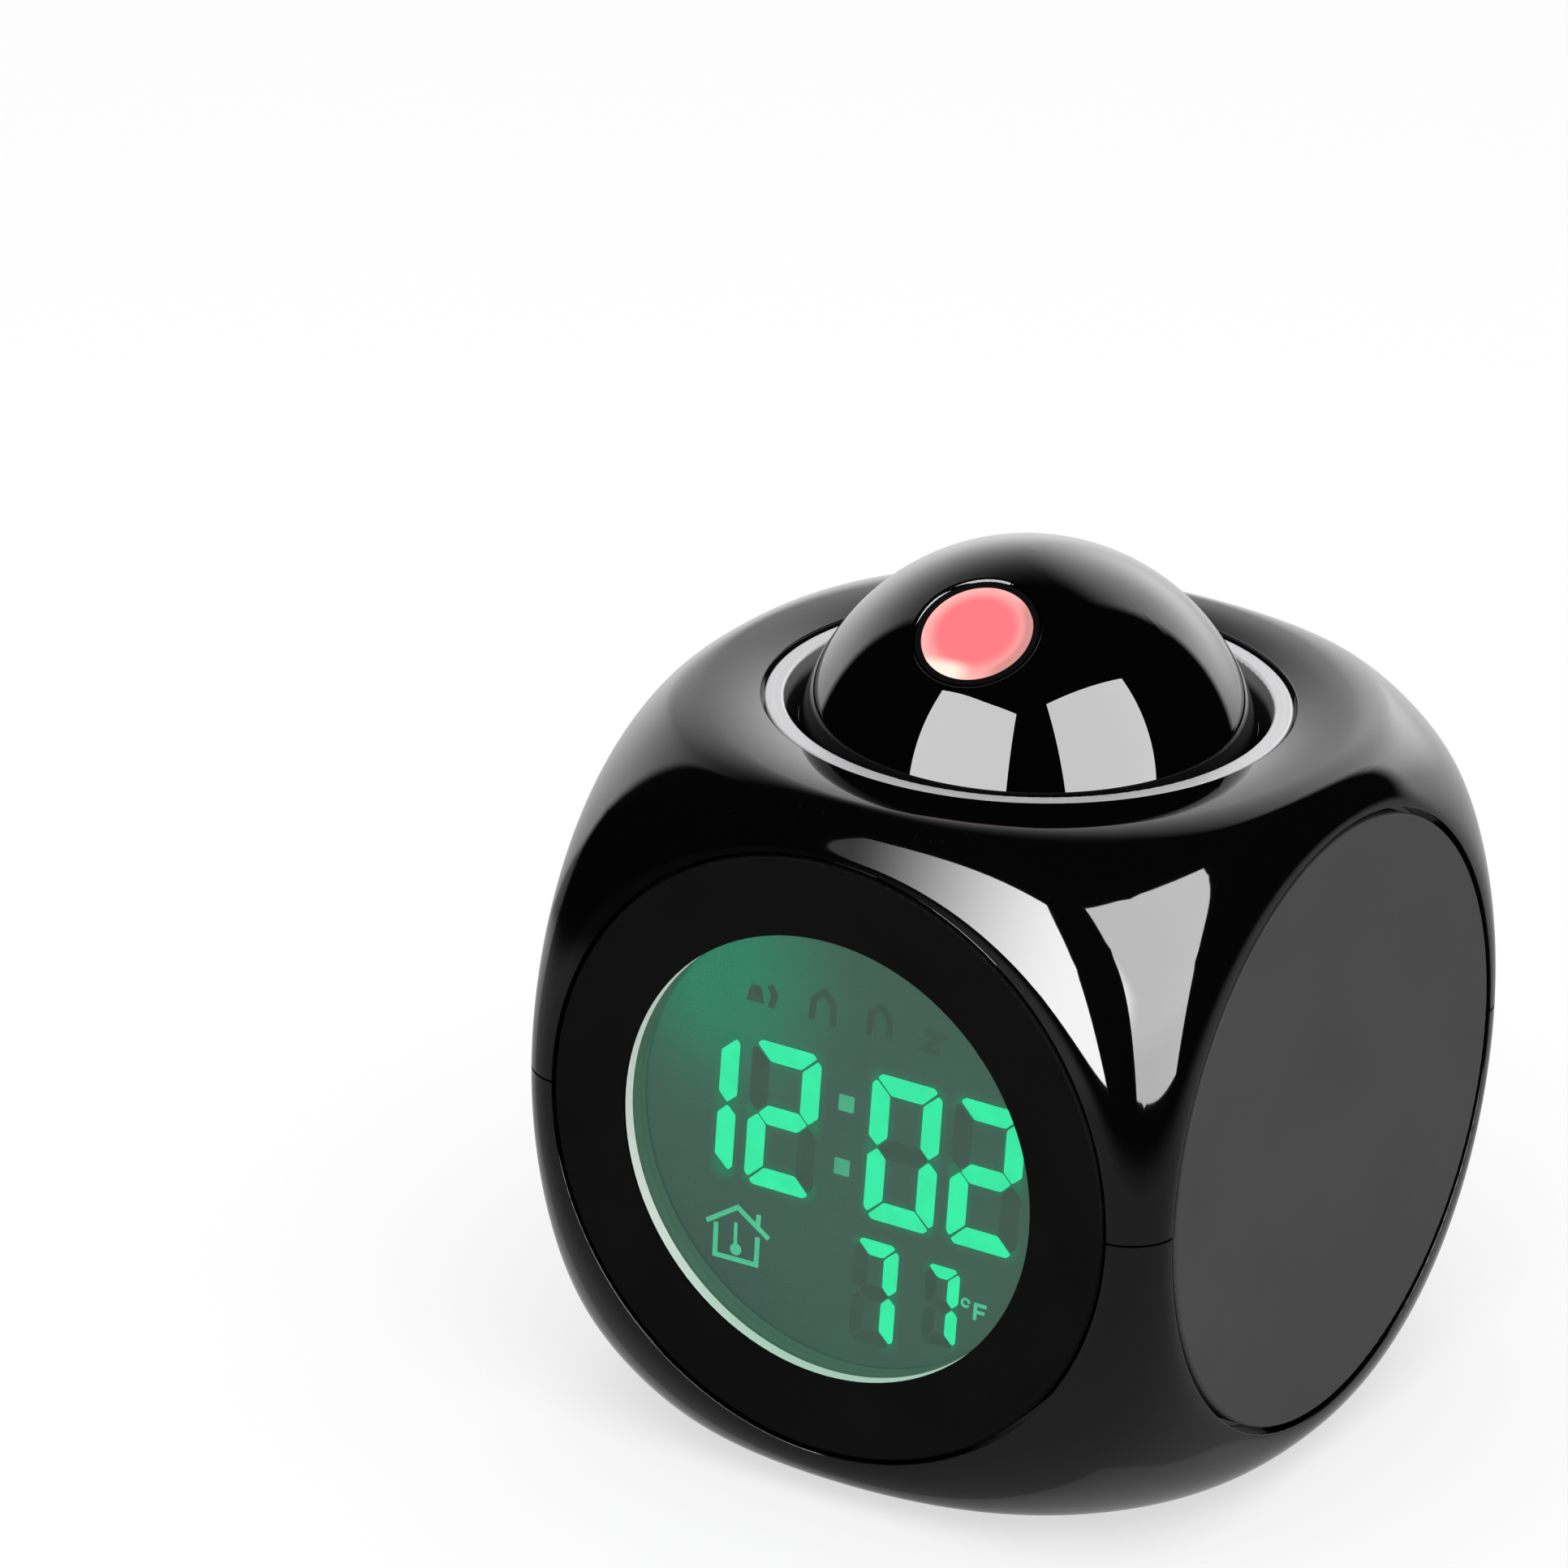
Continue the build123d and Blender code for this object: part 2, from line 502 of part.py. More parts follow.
def lower_shell(walls, outer):
    """Bottom half: the battery bay, four deep screw wells, foot pockets, ribs."""
    shell = walls & block(-HALF, HALF, -HALF, HALF, BASE_Z, MIDDLE_Z)
    side = BAY_LEDGE + BAY_SIDE
    bay = block(-BAY_HALF_X - side, BAY_HALF_X + side, -BAY_HALF_Y - side, BAY_HALF_Y + side,
                BASE_Z, BAY_TOP + BAY_ROOF)
    for x, y in BOSSES:
        bay += post(BOSS_RADIUS, BASE_Z, MIDDLE_Z, x, y)
    for middle in (-RIB_SIDE, RIB_SIDE):
        bay += block(middle - RIB_THICK / 2, middle + RIB_THICK / 2, BOARD_Y, -BAY_HALF_Y - side,
                     BASE_Z, BOARD_LOW + BOARD_SCREW_END)
    shell += bay & outer
    shell -= block(-BAY_HALF_X, BAY_HALF_X, -BAY_HALF_Y, BAY_HALF_Y, BASE_Z, BAY_TOP)
    door_x = DOOR_HALF_X + DOOR_GAP
    door_y = DOOR_HALF_Y + DOOR_GAP
    shell -= block(-door_x, door_x, -door_y, door_y, BASE_Z - PAST, LEDGE_Z)
    latch_y = LATCH_WIDTH / 2 + DOOR_GAP
    shell -= block(DOOR_HALF_X - LATCH_THICK - DOOR_GAP, door_x, -latch_y, latch_y,
                   BASE_Z, DOOR_TOP + LATCH_HEIGHT + DOOR_GAP)
    tab_y = TAB_WIDTH / 2 + DOOR_GAP
    for middle in (-TAB_AT, TAB_AT):
        shell -= block(-door_x, -BAY_HALF_X, middle - tab_y, middle + tab_y,
                       BASE_Z, DOOR_TOP + TAB_HEIGHT + DOOR_GAP)
    for x, y in BOSSES:
        shell -= post(CASE_HEAD + DOOR_GAP, BASE_Z - PAST, CASE_SCREW_Z, x, y)
        shell -= post(CASE_SHANK + DOOR_GAP, CASE_SCREW_Z - PAST, MIDDLE_Z + PAST, x, y)
    for x, y in FEET:
        shell -= post(FOOT_RADIUS + FIT, BASE_Z - PAST, BASE_Z + FOOT_POCKET, x, y)
    return shell


# ------------------------------------------------------------------ front of the case
def front_bezel():
    """Black disc round the display window, thin at the hole, thicker behind."""
    bezel = eased(disc(FRONT_DISC_RADIUS, -HALF, -SEAT_Y), ALONG_Y, -HALF, DISC_EDGE_ROUND)
    bezel -= disc(WINDOW_RADIUS, -HALF - PAST, -SEAT_Y + PAST)
    return bezel - disc(SURROUND_RADIUS + FIT, -HALF + BEZEL_LIP, -SEAT_Y + PAST)


def display_surround():
    """Pale ring that lines the window's edge behind the bezel's lip."""
    ring = disc(SURROUND_RADIUS, -HALF + BEZEL_LIP, WINDOW_Y)
    return ring - disc(WINDOW_RADIUS, -HALF, 0)


def display_window():
    return disc(SURROUND_RADIUS, WINDOW_Y, FRAME_Y)


def lcd_frame():
    """Display housing: a spigot up to the window, a round tunnel, a square pocket behind."""
    half = MODULE_SIZE / 2
    frame = block(-half, half, -SEAT_Y + SEAT_THICK, MODULE_Y, MIDDLE_Z - half, MIDDLE_Z + half)
    frame &= case_blank(WALL + POCKET_PLAY)
    frame += disc(SURROUND_RADIUS, FRAME_Y, -SEAT_Y + SEAT_THICK + BITE)
    frame -= disc(WINDOW_RADIUS + FIT, -HALF, LCD_Y + PAST)
    pocket = LCD_SIZE / 2 + POCKET_PLAY
    frame -= block(-pocket, pocket, LCD_Y, 0, MIDDLE_Z - pocket, MIDDLE_Z + pocket)
    for x, z in BOARD_SCREWS:
        frame -= disc(SMALL_SHANK + SCREW_FIT, -SEAT_Y + SEAT_THICK + POST_SKIN, MODULE_Y + PAST, x, z)
    return frame


def lcd_glass():
    half = LCD_SIZE / 2
    return block(-half, half, LCD_Y, BACKLIGHT_Y, LCD_LOW, LCD_HIGH)


def backlight_panel():
    half = LCD_SIZE / 2
    low = LCD_LOW + ZEBRA_HEIGHT + POCKET_PLAY
    return block(-half, half, BACKLIGHT_Y, BACKLIGHT_Y + BACKLIGHT_THICK, low, LCD_HIGH)


def zebra_connector():
    """Rubber strip that carries the display's contacts to the board."""
    half = LCD_SIZE / 2 - ZEBRA_INSET
    return block(-half, half, BACKLIGHT_Y, MODULE_Y, LCD_LOW, LCD_LOW + ZEBRA_HEIGHT)


def clock_board():
    half = MODULE_SIZE / 2
    board = block(-half, half, MODULE_Y, BOARD_Y, BOARD_LOW, BOARD_HIGH)
    board &= case_blank(WALL + POCKET_PLAY)
    for x, z in BOARD_SCREWS:
        board -= disc(SMALL_SHANK + FIT, MODULE_Y - PAST, BOARD_Y + PAST, x, z)
    return board


def chip(x, z, width, height, thick):
    """A flat component soldered to the clock board's back, given by its middle."""
    return block(x - width / 2, x + width / 2, BOARD_Y, BOARD_Y + thick, z - height / 2, z + height / 2)


def board_components():
    """Clock chip, voice chip, quartz crystal and two capacitors on the board's back."""
    low_z = BOARD_MIDDLE - CRYSTAL_DROP
    high_z = BOARD_MIDDLE + CAPACITOR_RISE
    parts = [
        chip(0, BOARD_MIDDLE + CLOCK_CHIP_RISE, CLOCK_CHIP, CLOCK_CHIP, CHIP_THICK),
        chip(-CHIP_COLUMN, BOARD_MIDDLE - VOICE_CHIP_DROP, VOICE_CHIP, VOICE_CHIP, CHIP_THICK),
        chip(-CHIP_COLUMN, low_z, CRYSTAL_LENGTH, CRYSTAL_THICK, CRYSTAL_THICK),
    ]
    for x in (-CHIP_COLUMN / 2, -CHIP_COLUMN / 2 - CAPACITOR_PITCH):
        parts.append(disc(CAPACITOR_RADIUS, BOARD_Y, BOARD_Y + CAPACITOR_LENGTH, x, high_z))
    return joined(parts)


def temperature_sensor():
    """Bead on two legs, held off the lower edge of the clock board."""
    z = BOARD_LOW + SENSOR_RISE
    bead_y = BOARD_Y + SENSOR_REACH
    sensor = Location((0, bead_y, z)) * Sphere(SENSOR_RADIUS)
    for side in (-1, 1):
        sensor += disc(SENSOR_LEG, BOARD_Y, bead_y, side * SENSOR_LEG_SIDE, z)
    return sensor


def display_screws():
    tip = -SEAT_Y + SEAT_THICK + POST_SKIN + PILOT_SPARE
    return joined([
        disc(SMALL_SHANK, tip, BOARD_Y + BITE, x, z)
        + disc(SMALL_HEAD, BOARD_Y, BOARD_Y + HEAD_HEIGHT, x, z)
        for x, z in BOARD_SCREWS
    ])


# ------------------------------------------------------------------ sides and back
def side_plate(side):
    plate = side_disc(SIDE_DISC_RADIUS, side * SEAT_Y, side * HALF)
    return eased(plate, ALONG_X, side * HALF, DISC_EDGE_ROUND)


def rear_panel():
    """Disc with the key holes, the switch slot, the speaker grille and four posts."""
    panel = eased(disc(SIDE_DISC_RADIUS, SEAT_Y, REAR_Y), ALONG_Y, REAR_Y, DISC_EDGE_ROUND)
    panel += disc(SEAT_INNER - POCKET_PLAY, REAR_INNER_Y, SEAT_Y + BITE)
    for x, z in POSTS:
        panel += disc(POST_RADIUS, KEY_BOARD_Y, REAR_INNER_Y + BITE, x, z)
    for x in KEY_PLACES:
        panel -= disc(KEY_RADIUS + KEY_GAP, REAR_INNER_Y - PAST, REAR_Y + PAST, x, KEY_Z)
    slot_x = (KNOB_SIZE + SWITCH_TRAVEL) / 2 + KEY_GAP
    slot_z = KNOB_SIZE / 2 + KEY_GAP
    panel -= block(-slot_x, slot_x, REAR_INNER_Y - PAST, REAR_Y + PAST,
                   SWITCH_Z - slot_z, SWITCH_Z + slot_z)
    panel -= disc(GRILLE_HOLE, REAR_INNER_Y - PAST, REAR_Y + PAST, 0, SPEAKER_Z)
    for ring in range(1, GRILLE_RING_COUNT + 1):
        count = ring * GRILLE_FIRST_COUNT
        for step in range(count):
            turn = 2 * pi * step / count
            x = ring * GRILLE_PITCH * cos(turn)
            z = SPEAKER_Z + ring * GRILLE_PITCH * sin(turn)
            panel -= disc(GRILLE_HOLE, REAR_INNER_Y - PAST, REAR_Y + PAST, x, z)
    for x, z in POSTS:
        panel -= disc(SMALL_SHANK + SCREW_FIT, KEY_BOARD_Y - PAST, REAR_INNER_Y - POST_SKIN, x, z)
    return panel


def key(x):
    """Round push key: cap through the panel, flange behind it, stem over its switch."""
    flange_y = REAR_INNER_Y - POCKET_PLAY
    cap = eased(disc(KEY_RADIUS, flange_y - KEY_FLANGE, HALF, x, KEY_Z), ALONG_Y, HALF, KEY_DOME)
    cap += disc(KEY_RADIUS + KEY_FLANGE_WIDTH, flange_y - KEY_FLANGE, flange_y, x, KEY_Z)
    return cap + disc(KEY_STEM, flange_y - KEY_FLANGE - POCKET_PLAY, flange_y, x, KEY_Z)


def key_switches():
    """Four small push switches soldered to the key board."""
    stem_end = REAR_INNER_Y - 2 * POCKET_PLAY - KEY_FLANGE - KEY_TRAVEL - FIT
    body_y = stem_end - TACT_STEM_HEIGHT
    half = TACT_SIZE / 2
    return joined([
        block(x - half, x + half, KEY_BOARD_Y, body_y, KEY_Z - half, KEY_Z + half)
        + disc(TACT_STEM, KEY_BOARD_Y, stem_end, x, KEY_Z)
        for x in KEY_PLACES
    ])


def key_board():
    board = block(-KEY_BOARD_HALF, KEY_BOARD_HALF, KEY_BOARD_BACK, KEY_BOARD_Y,
                  KEY_BOARD_LOW, KEY_BOARD_HIGH)
    board = fillet(board.edges().filter_by(Axis.Y), KEY_BOARD_ROUND)
    for x, z in POSTS:
        board -= disc(SMALL_SHANK + FIT, KEY_BOARD_BACK - PAST, KEY_BOARD_Y + PAST, x, z)
    return board


def key_board_screws():
    tip = REAR_INNER_Y - POST_SKIN - PILOT_SPARE
    return joined([
        disc(SMALL_SHANK, KEY_BOARD_BACK - BITE, tip, x, z)
        + disc(SMALL_HEAD, KEY_BOARD_BACK - HEAD_HEIGHT, KEY_BOARD_BACK, x, z)
        for x, z in POSTS
    ])


def projection_switch_body():
    width, height, depth = SWITCH_BODY
    return block(-width / 2, width / 2, KEY_BOARD_Y, KEY_BOARD_Y + depth,
                 SWITCH_Z - height / 2, SWITCH_Z + height / 2)


def projection_switch_knob():
    """Slide knob at the off end of its slot, its foot on the switch's body."""
    half = KNOB_SIZE / 2
    left = -SWITCH_TRAVEL / 2
    foot_y = KEY_BOARD_Y + SWITCH_BODY[2] + FIT
    face_y = REAR_Y + KNOB_PROUD
    knob = block(left - half, left + half, foot_y, face_y, SWITCH_Z - half, SWITCH_Z + half)
    knob = fillet(knob.faces().sort_by(Axis.Y)[-1].edges(), KNOB_ROUND)
    for step in (-1, 0, 1):
        x = left + step * KNOB_GROOVE_PITCH
        knob -= block(x - KNOB_GROOVE / 2, x + KNOB_GROOVE / 2, face_y - KNOB_GROOVE_DEPTH, face_y + PAST,
                      SWITCH_Z - half, SWITCH_Z + half)
    return knob


def speaker_section(points):
    """Turns a section, given as radius and depth from the panel, round the speaker's axis."""
    turned = spun([(radius, -depth) for radius, depth in points])
    return Location((0, REAR_INNER_Y, SPEAKER_Z), (-90, 0, 0)) * turned


def speaker_basket():
    return speaker_section([
        (SPEAKER_RADIUS - SPEAKER_LIP, 0), (SPEAKER_RADIUS, 0), (SPEAKER_RADIUS, SPEAKER_FLANGE),
        (SPEAKER_BACK, SPEAKER_DEPTH), (0, SPEAKER_DEPTH), (0, SPEAKER_DEPTH - BASKET_WALL),
        (SPEAKER_BACK - BASKET_WALL, SPEAKER_DEPTH - BASKET_WALL),
        (SPEAKER_RADIUS - SPEAKER_LIP, SPEAKER_FLANGE),
    ])


def speaker_cone():
    edge = SPEAKER_RADIUS - SPEAKER_LIP - CONE_EDGE
    low = CONE_CAP_DEPTH - CONE_THICK
    return speaker_section([
        (edge, CONE_FRONT), (edge, CONE_FRONT + CONE_THICK), (CONE_NECK, CONE_NECK_DEPTH),
        (CONE_CAP, CONE_CAP_DEPTH + CONE_THICK), (0, CONE_CAP_DEPTH), (0, low),
        (CONE_CAP, low + CONE_THICK), (CONE_NECK, CONE_NECK_DEPTH - CONE_THICK),
    ])


def speaker_magnet():
    back = REAR_INNER_Y - SPEAKER_DEPTH
    return disc(MAGNET_RADIUS, back - MAGNET_DEPTH, back, 0, SPEAKER_Z)


# ------------------------------------------------------------------ dome
def trim_ring():
    """Bright ring: flat rim, outer lip on the well's ledge, inner wall closing on the dome."""
    rim_inner = RING_OUTER - RIM_WIDTH
    ring = spun([
        (rim_inner, RING_TOP), (RING_OUTER, RING_TOP), (RING_OUTER, RING_SEAT),
        (WELL_INNER - FIT, RING_SEAT), (WELL_INNER - FIT, RING_FOOT), (RING_INNER, RING_FOOT),
    ])
    return eased(ring, ALONG_Z, RING_TOP, RIM_ROUND)


def dome_shell():
    ball = Sphere(DOME_RADIUS) - Sphere(DOME_RADIUS - DOME_WALL)
    return Location((0, 0, DOME_Z)) * ball


def dome_cap():
    """Upper part of the dome with the lens hole and its inner boss."""
    parting_z = DOME_Z + DOME_PARTING
    cap = dome_shell()
    boss = along_lens(post(LENS_HOLE + LENS_BOSS, BARREL_TOP - LENS_BOSS_DEPTH, DOME_RADIUS))
    cap += boss & (Location((0, 0, DOME_Z)) * Sphere(DOME_RADIUS - DOME_WALL / 2))
    cap &= block(-HALF, HALF, -HALF, HALF, parting_z, DOME_Z + DOME_RADIUS)
    cap -= along_lens(post(LENS_HOLE, 0, DOME_RADIUS + PAST))
    return eased(cap, AIM, LENS_RIM + DOME_Z * AIM.Z, LENS_EASE)


def dome_base():
    """Lower part of the dome: skirt, floor, pivot hub and the lip that locates the cap."""
    parting_z = DOME_Z + DOME_PARTING
    base = dome_shell() & block(-HALF, HALF, -HALF, HALF, DOME_FLOOR_Z, parting_z)
    floor_radius = sqrt(DOME_RADIUS**2 - DOME_SKIRT**2)
    base += post(floor_radius - DOME_WALL / 2, DOME_FLOOR_Z, DOME_FLOOR_Z + DOME_WALL)
    base += post(DOME_HUB_RADIUS, DOME_FLOOR_Z, DOME_FLOOR_Z + DOME_WALL + DOME_HUB_HEIGHT)
    groove_radius = sqrt(DOME_RADIUS**2 - DOME_PARTING**2)
    groove_z = parting_z - PARTING_GROOVE
    mark = post(groove_radius + PAST, groove_z, parting_z)
    base -= mark - post(groove_radius - PARTING_GROOVE_DEPTH, groove_z, parting_z)
    pilot_top = CARRIER_Z + DOME_SCREW_LENGTH
    return base - post(CASE_SHANK + SCREW_FIT, DOME_FLOOR_Z - PAST, pilot_top)


def dome_carrier():
    """Cup that slides in the well and carries the dome; two legs keep it from turning."""
    cup = post(CARRIER_OUTER, CARRIER_Z, RING_FOOT - CARRIER_STOP)
    cup -= post(CARRIER_INNER, CARRIER_TOP_Z, RING_TOP)
    for side in (-1, 1):
        x = side * LEG_SIDE
        cup += block(x - LEG_THICK / 2, x + LEG_THICK / 2, -LEG_WIDTH / 2, LEG_WIDTH / 2,
                     CARRIER_Z - LEG_LENGTH, CARRIER_Z + BITE)
    return cup - post(CASE_SHANK + FIT, CARRIER_Z - PAST, CARRIER_TOP_Z + PAST)


def pivot_washer():
    return post(WASHER_RADIUS, CARRIER_TOP_Z, DOME_FLOOR_Z) - post(CASE_SHANK + FIT, CARRIER_Z, DOME_Z)


def pivot_screw():
    """Holds the dome down on its washer and is the pin that it turns on."""
    tip = CARRIER_Z + DOME_SCREW_LENGTH - PILOT_SPARE / 2
    head = post(CASE_HEAD, CARRIER_Z - CASE_HEAD_HEIGHT, CARRIER_Z)
    return head + post(CASE_SHANK, CARRIER_Z - BITE, tip)


def return_spring():
    return coil(SPRING_RADIUS, SPRING_WIRE, BRACKET_TOP, CARRIER_Z, SPRING_TURNS)


def dome_bracket():
    """Bar across the foot of the well that carries the spring and the talk switch."""
    half = LUG_X + LUG_RADIUS
    bar = block(-half, half, -BRACKET_WIDTH / 2, BRACKET_WIDTH / 2, BRACKET_Z, BRACKET_TOP)
    bar = fillet(bar.edges().filter_by(Axis.Z), BRACKET_ROUND)
    for side in (-1, 1):
        x = side * LEG_SIDE
        reach_x = LEG_THICK / 2 + LEG_PLAY
        reach_y = LEG_WIDTH / 2 + LEG_PLAY
        bar -= block(x - reach_x, x + reach_x, -reach_y, reach_y, BRACKET_Z - PAST, BRACKET_TOP + PAST)
    for x, y in LUGS:
        bar -= post(SMALL_SHANK + FIT, BRACKET_Z - PAST, BRACKET_TOP + PAST, x, y)
    return bar - post(2 * WIRE_RADIUS + FIT, BRACKET_Z - PAST, BRACKET_TOP + PAST)


def bracket_screws():
    tip = BRACKET_TOP + LUG_HEIGHT - 2 * PILOT_SPARE
    return joined([
        post(SMALL_SHANK, BRACKET_Z - BITE, tip, x, y)
        + post(SMALL_HEAD, BRACKET_Z - HEAD_HEIGHT, BRACKET_Z, x, y)
        for x, y in LUGS
    ])


def talk_switch():
    """Push switch under the carrier that the dome works."""
    half = TACT_SIZE / 2
    x = LEG_SIDE - LEG_THICK / 2 - LEG_PLAY - TALK_SWITCH_GAP - half
    stem_top = CARRIER_Z - PRESS_TRAVEL - FIT
    body = block(x - half, x + half, -half, half, BRACKET_TOP, stem_top - TACT_STEM_HEIGHT)
    return body + post(TACT_STEM, BRACKET_TOP, stem_top, x, 0)


# ------------------------------------------------------------------ projector
def lens_barrel():
    tube = post(BARREL_OUTER, PROJECTOR_TOP, BARREL_TOP) - post(BARREL_INNER, 0, DOME_RADIUS)
    return along_lens(tube)


def crowned_lens(radius, low, edge, crown):
    """A lens with a flat back, a straight edge and a domed face."""
    curve = (radius**2 + crown**2) / (2 * crown)
    ball = Location((0, 0, low + edge + crown - curve)) * Sphere(curve)
    return along_lens(post(radius, low, low + edge + crown) & ball)


def projection_lens():
    low = BARREL_TOP - LENS_EDGE
    return crowned_lens(BARREL_INNER - SCREW_FIT, low, LENS_EDGE, LENS_CROWN)


def condenser_lens():
    return crowned_lens(BARREL_INNER - SCREW_FIT, CONDENSER_AT, CONDENSER_THICK / 2, CONDENSER_THICK / 2)


def projector_film():
    return along_lens(post(BARREL_INNER - SCREW_FIT, FILM_AT, FILM_AT + FILM_THICK))


def projector_led():
    top = PROJECTOR_TOP + LED_HEIGHT
    body = post(LED_RADIUS, PROJECTOR_TOP, top - LED_RADIUS)
    body += Location((0, 0, top - LED_RADIUS)) * Sphere(LED_RADIUS)
    body &= post(LED_RADIUS + PAST, PROJECTOR_TOP, top)
    return along_lens(body)


def projector_board():
    return along_lens(post(PROJECTOR_BOARD_RADIUS, PROJECTOR_BOARD_AT, PROJECTOR_TOP))


# ------------------------------------------------------------------ underside
def battery_door():
    """Plate in the bay's mouth with two tabs at one end and a latch at the other."""
    door = block(-DOOR_HALF_X, DOOR_HALF_X, -DOOR_HALF_Y, DOOR_HALF_Y, BASE_Z, DOOR_TOP)
    door = fillet(door.edges().filter_by(Axis.Z), DOOR_CORNER)
    door += block(DOOR_HALF_X - LATCH_THICK, DOOR_HALF_X, -LATCH_WIDTH / 2, LATCH_WIDTH / 2,
                  DOOR_TOP - BITE, DOOR_TOP + LATCH_HEIGHT)
    for middle in (-TAB_AT, TAB_AT):
        door += block(-DOOR_HALF_X, -DOOR_HALF_X + TAB_LENGTH, middle - TAB_WIDTH / 2,
                      middle + TAB_WIDTH / 2, DOOR_TOP - BITE, DOOR_TOP + TAB_HEIGHT)
    for step in range(GRIP_COUNT):
        x = DOOR_HALF_X - GRIP_AT - step * GRIP_PITCH
        door -= block(x - GRIP_WIDTH / 2, x + GRIP_WIDTH / 2, -GRIP_LENGTH / 2, GRIP_LENGTH / 2,
                      BASE_Z - PAST, BASE_Z + GRIP_DEPTH)
    return door


def aaa_cell(row):
    """One cell along X; neighbours lie the other way round."""
    way = 1 if row % 2 == 0 else -1
    half = CELL_LENGTH / 2
    body = eased(post(CELL_RADIUS, -half, half - CELL_NUB), ALONG_Z, -half, CELL_ROUND)
    body = eased(body, ALONG_Z, half - CELL_NUB, CELL_ROUND)
    body += post(CELL_NUB_RADIUS, half - CELL_NUB - BITE, half)
    return Location((0, CELL_ROWS[row], CELL_Z), (0, 90 * way, 0)) * body


def aaa_cells():
    return joined([aaa_cell(row) for row in range(CELL_COUNT)])


def battery_plates():
    """Contact plates at both ends, with a raised button towards each positive end."""
    plates = []
    for row, y in enumerate(CELL_ROWS):
        way = 1 if row % 2 == 0 else -1
        for end in (-1, 1):
            x0, x1 = sorted((end * BAY_HALF_X, end * (BAY_HALF_X - PLATE_THICK)))
            half = PLATE_SIZE / 2
            plate = block(x0, x1, y - half, y + half, CELL_Z - half, CELL_Z + half)
            if end == way:
                reach = BAY_HALF_X - CELL_LENGTH / 2 - FIT
                button = post(CELL_NUB_RADIUS + PLATE_BUTTON_EDGE, 0, reach)
                plate += Location((end * BAY_HALF_X, y, CELL_Z), (0, -90 * end, 0)) * button
            plates.append(plate)
    return joined(plates)


def battery_springs():
    """Coil contacts at each negative end."""
    springs = []
    for row, y in enumerate(CELL_ROWS):
        end = -1 if row % 2 == 0 else 1
        shape = coil(CONTACT_SPRING_RADIUS, CONTACT_WIRE, PLATE_THICK, CONTACT_ROOM, CONTACT_SPRING_TURNS)
        springs.append(Location((end * BAY_HALF_X, y, CELL_Z), (0, -90 * end, 0)) * shape)
    return joined(springs)


def rubber_feet():
    return joined([
        eased(post(FOOT_RADIUS, 0, BASE_Z + FOOT_POCKET, x, y), ALONG_Z, 0, FOOT_ROUND)
        for x, y in FEET
    ])


def case_screw(x, y):
    """Self-tapping screw with a cross in its head."""
    head_z = CASE_SCREW_Z - CASE_HEAD_HEIGHT
    screw = post(CASE_SHANK, CASE_SCREW_Z - BITE, CASE_SCREW_Z + CASE_SCREW_LENGTH, x, y)
    screw += post(CASE_HEAD, head_z, CASE_SCREW_Z, x, y)
    for long_x, long_y in ((CROSS_SLOT_LENGTH, CROSS_SLOT), (CROSS_SLOT, CROSS_SLOT_LENGTH)):
        screw -= block(x - long_x / 2, x + long_x / 2, y - long_y / 2, y + long_y / 2,
                       head_z - PAST, head_z + CROSS_SLOT_DEPTH)
    return screw


def case_screws():
    return joined([case_screw(x, y) for x, y in BOSSES])


# ------------------------------------------------------------------ wires
def battery_leads():
    """Two leads from the bay's end wall to the clock board."""
    wall_x = BAY_HALF_X + BAY_LEDGE + BAY_SIDE
    leads = []
    for step in (0, 1):
        x = wall_x + WIRE_STANDOFF + step * WIRE_PITCH
        y = -CELL_PITCH / 2 + step * 4 * WIRE_PITCH
        z = CELL_Z + step * WIRE_PITCH
        rise = MIDDLE_Z - LEAD_RISE + step * 2 * WIRE_PITCH
        inner_x = BOSS_SIDE - BOSS_RADIUS - LEAD_INSET + step * WIRE_PITCH
        leads.append(wire([
            (wall_x, y, z), (x, y, z), (x, y, rise), (inner_x, y - LEAD_INSET, rise),
            (inner_x, BOARD_Y, rise),
        ]))
    return joined(leads)


def speaker_leads():
    back = REAR_INNER_Y - SPEAKER_DEPTH
    deep = back - MAGNET_DEPTH - SPEAKER_LEAD_TURN
    tag_z = SPEAKER_Z + MAGNET_RADIUS + SPEAKER_TAG
    end_z = KEY_BOARD_LOW + CABLE_RISE
    return joined([
        wire([(x, back, tag_z), (x, deep, tag_z), (x, deep, end_z), (x, KEY_BOARD_BACK, end_z)])
        for x in (-WIRE_PITCH, WIRE_PITCH)
    ])


def board_cable():
    """Flat group of four leads from the key board to the clock board."""
    z = KEY_BOARD_LOW + CABLE_RISE
    low = z - CABLE_DIP
    leads = []
    for step in range(4):
        x = -CABLE_SIDE + step * WIRE_PITCH
        leads.append(wire([
            (x, KEY_BOARD_BACK, z), (x, KEY_BOARD_BACK - CABLE_RUN, z),
            (x, KEY_BOARD_BACK - 2 * CABLE_RUN, low), (x, BOARD_Y + 2 * CABLE_RUN, low),
            (x, BOARD_Y + CABLE_RUN, z), (x, BOARD_Y, z),
        ]))
    return joined(leads)


def projector_lead():
    """Lead from the clock board up through the bracket, towards the dome."""
    z = BRACKET_Z - PROJECTOR_LEAD_DROP
    side = CLOCK_CHIP / 2 + PROJECTOR_LEAD_CLEAR + 2 * WIRE_RADIUS
    return wire([
        (side, BOARD_Y, z), (side, BOARD_Y + PROJECTOR_LEAD_RUN, z), (0, -side, z),
        (0, 0, z + PROJECTOR_LEAD_DROP / 2), (0, 0, BRACKET_TOP),
    ], 2 * WIRE_RADIUS)


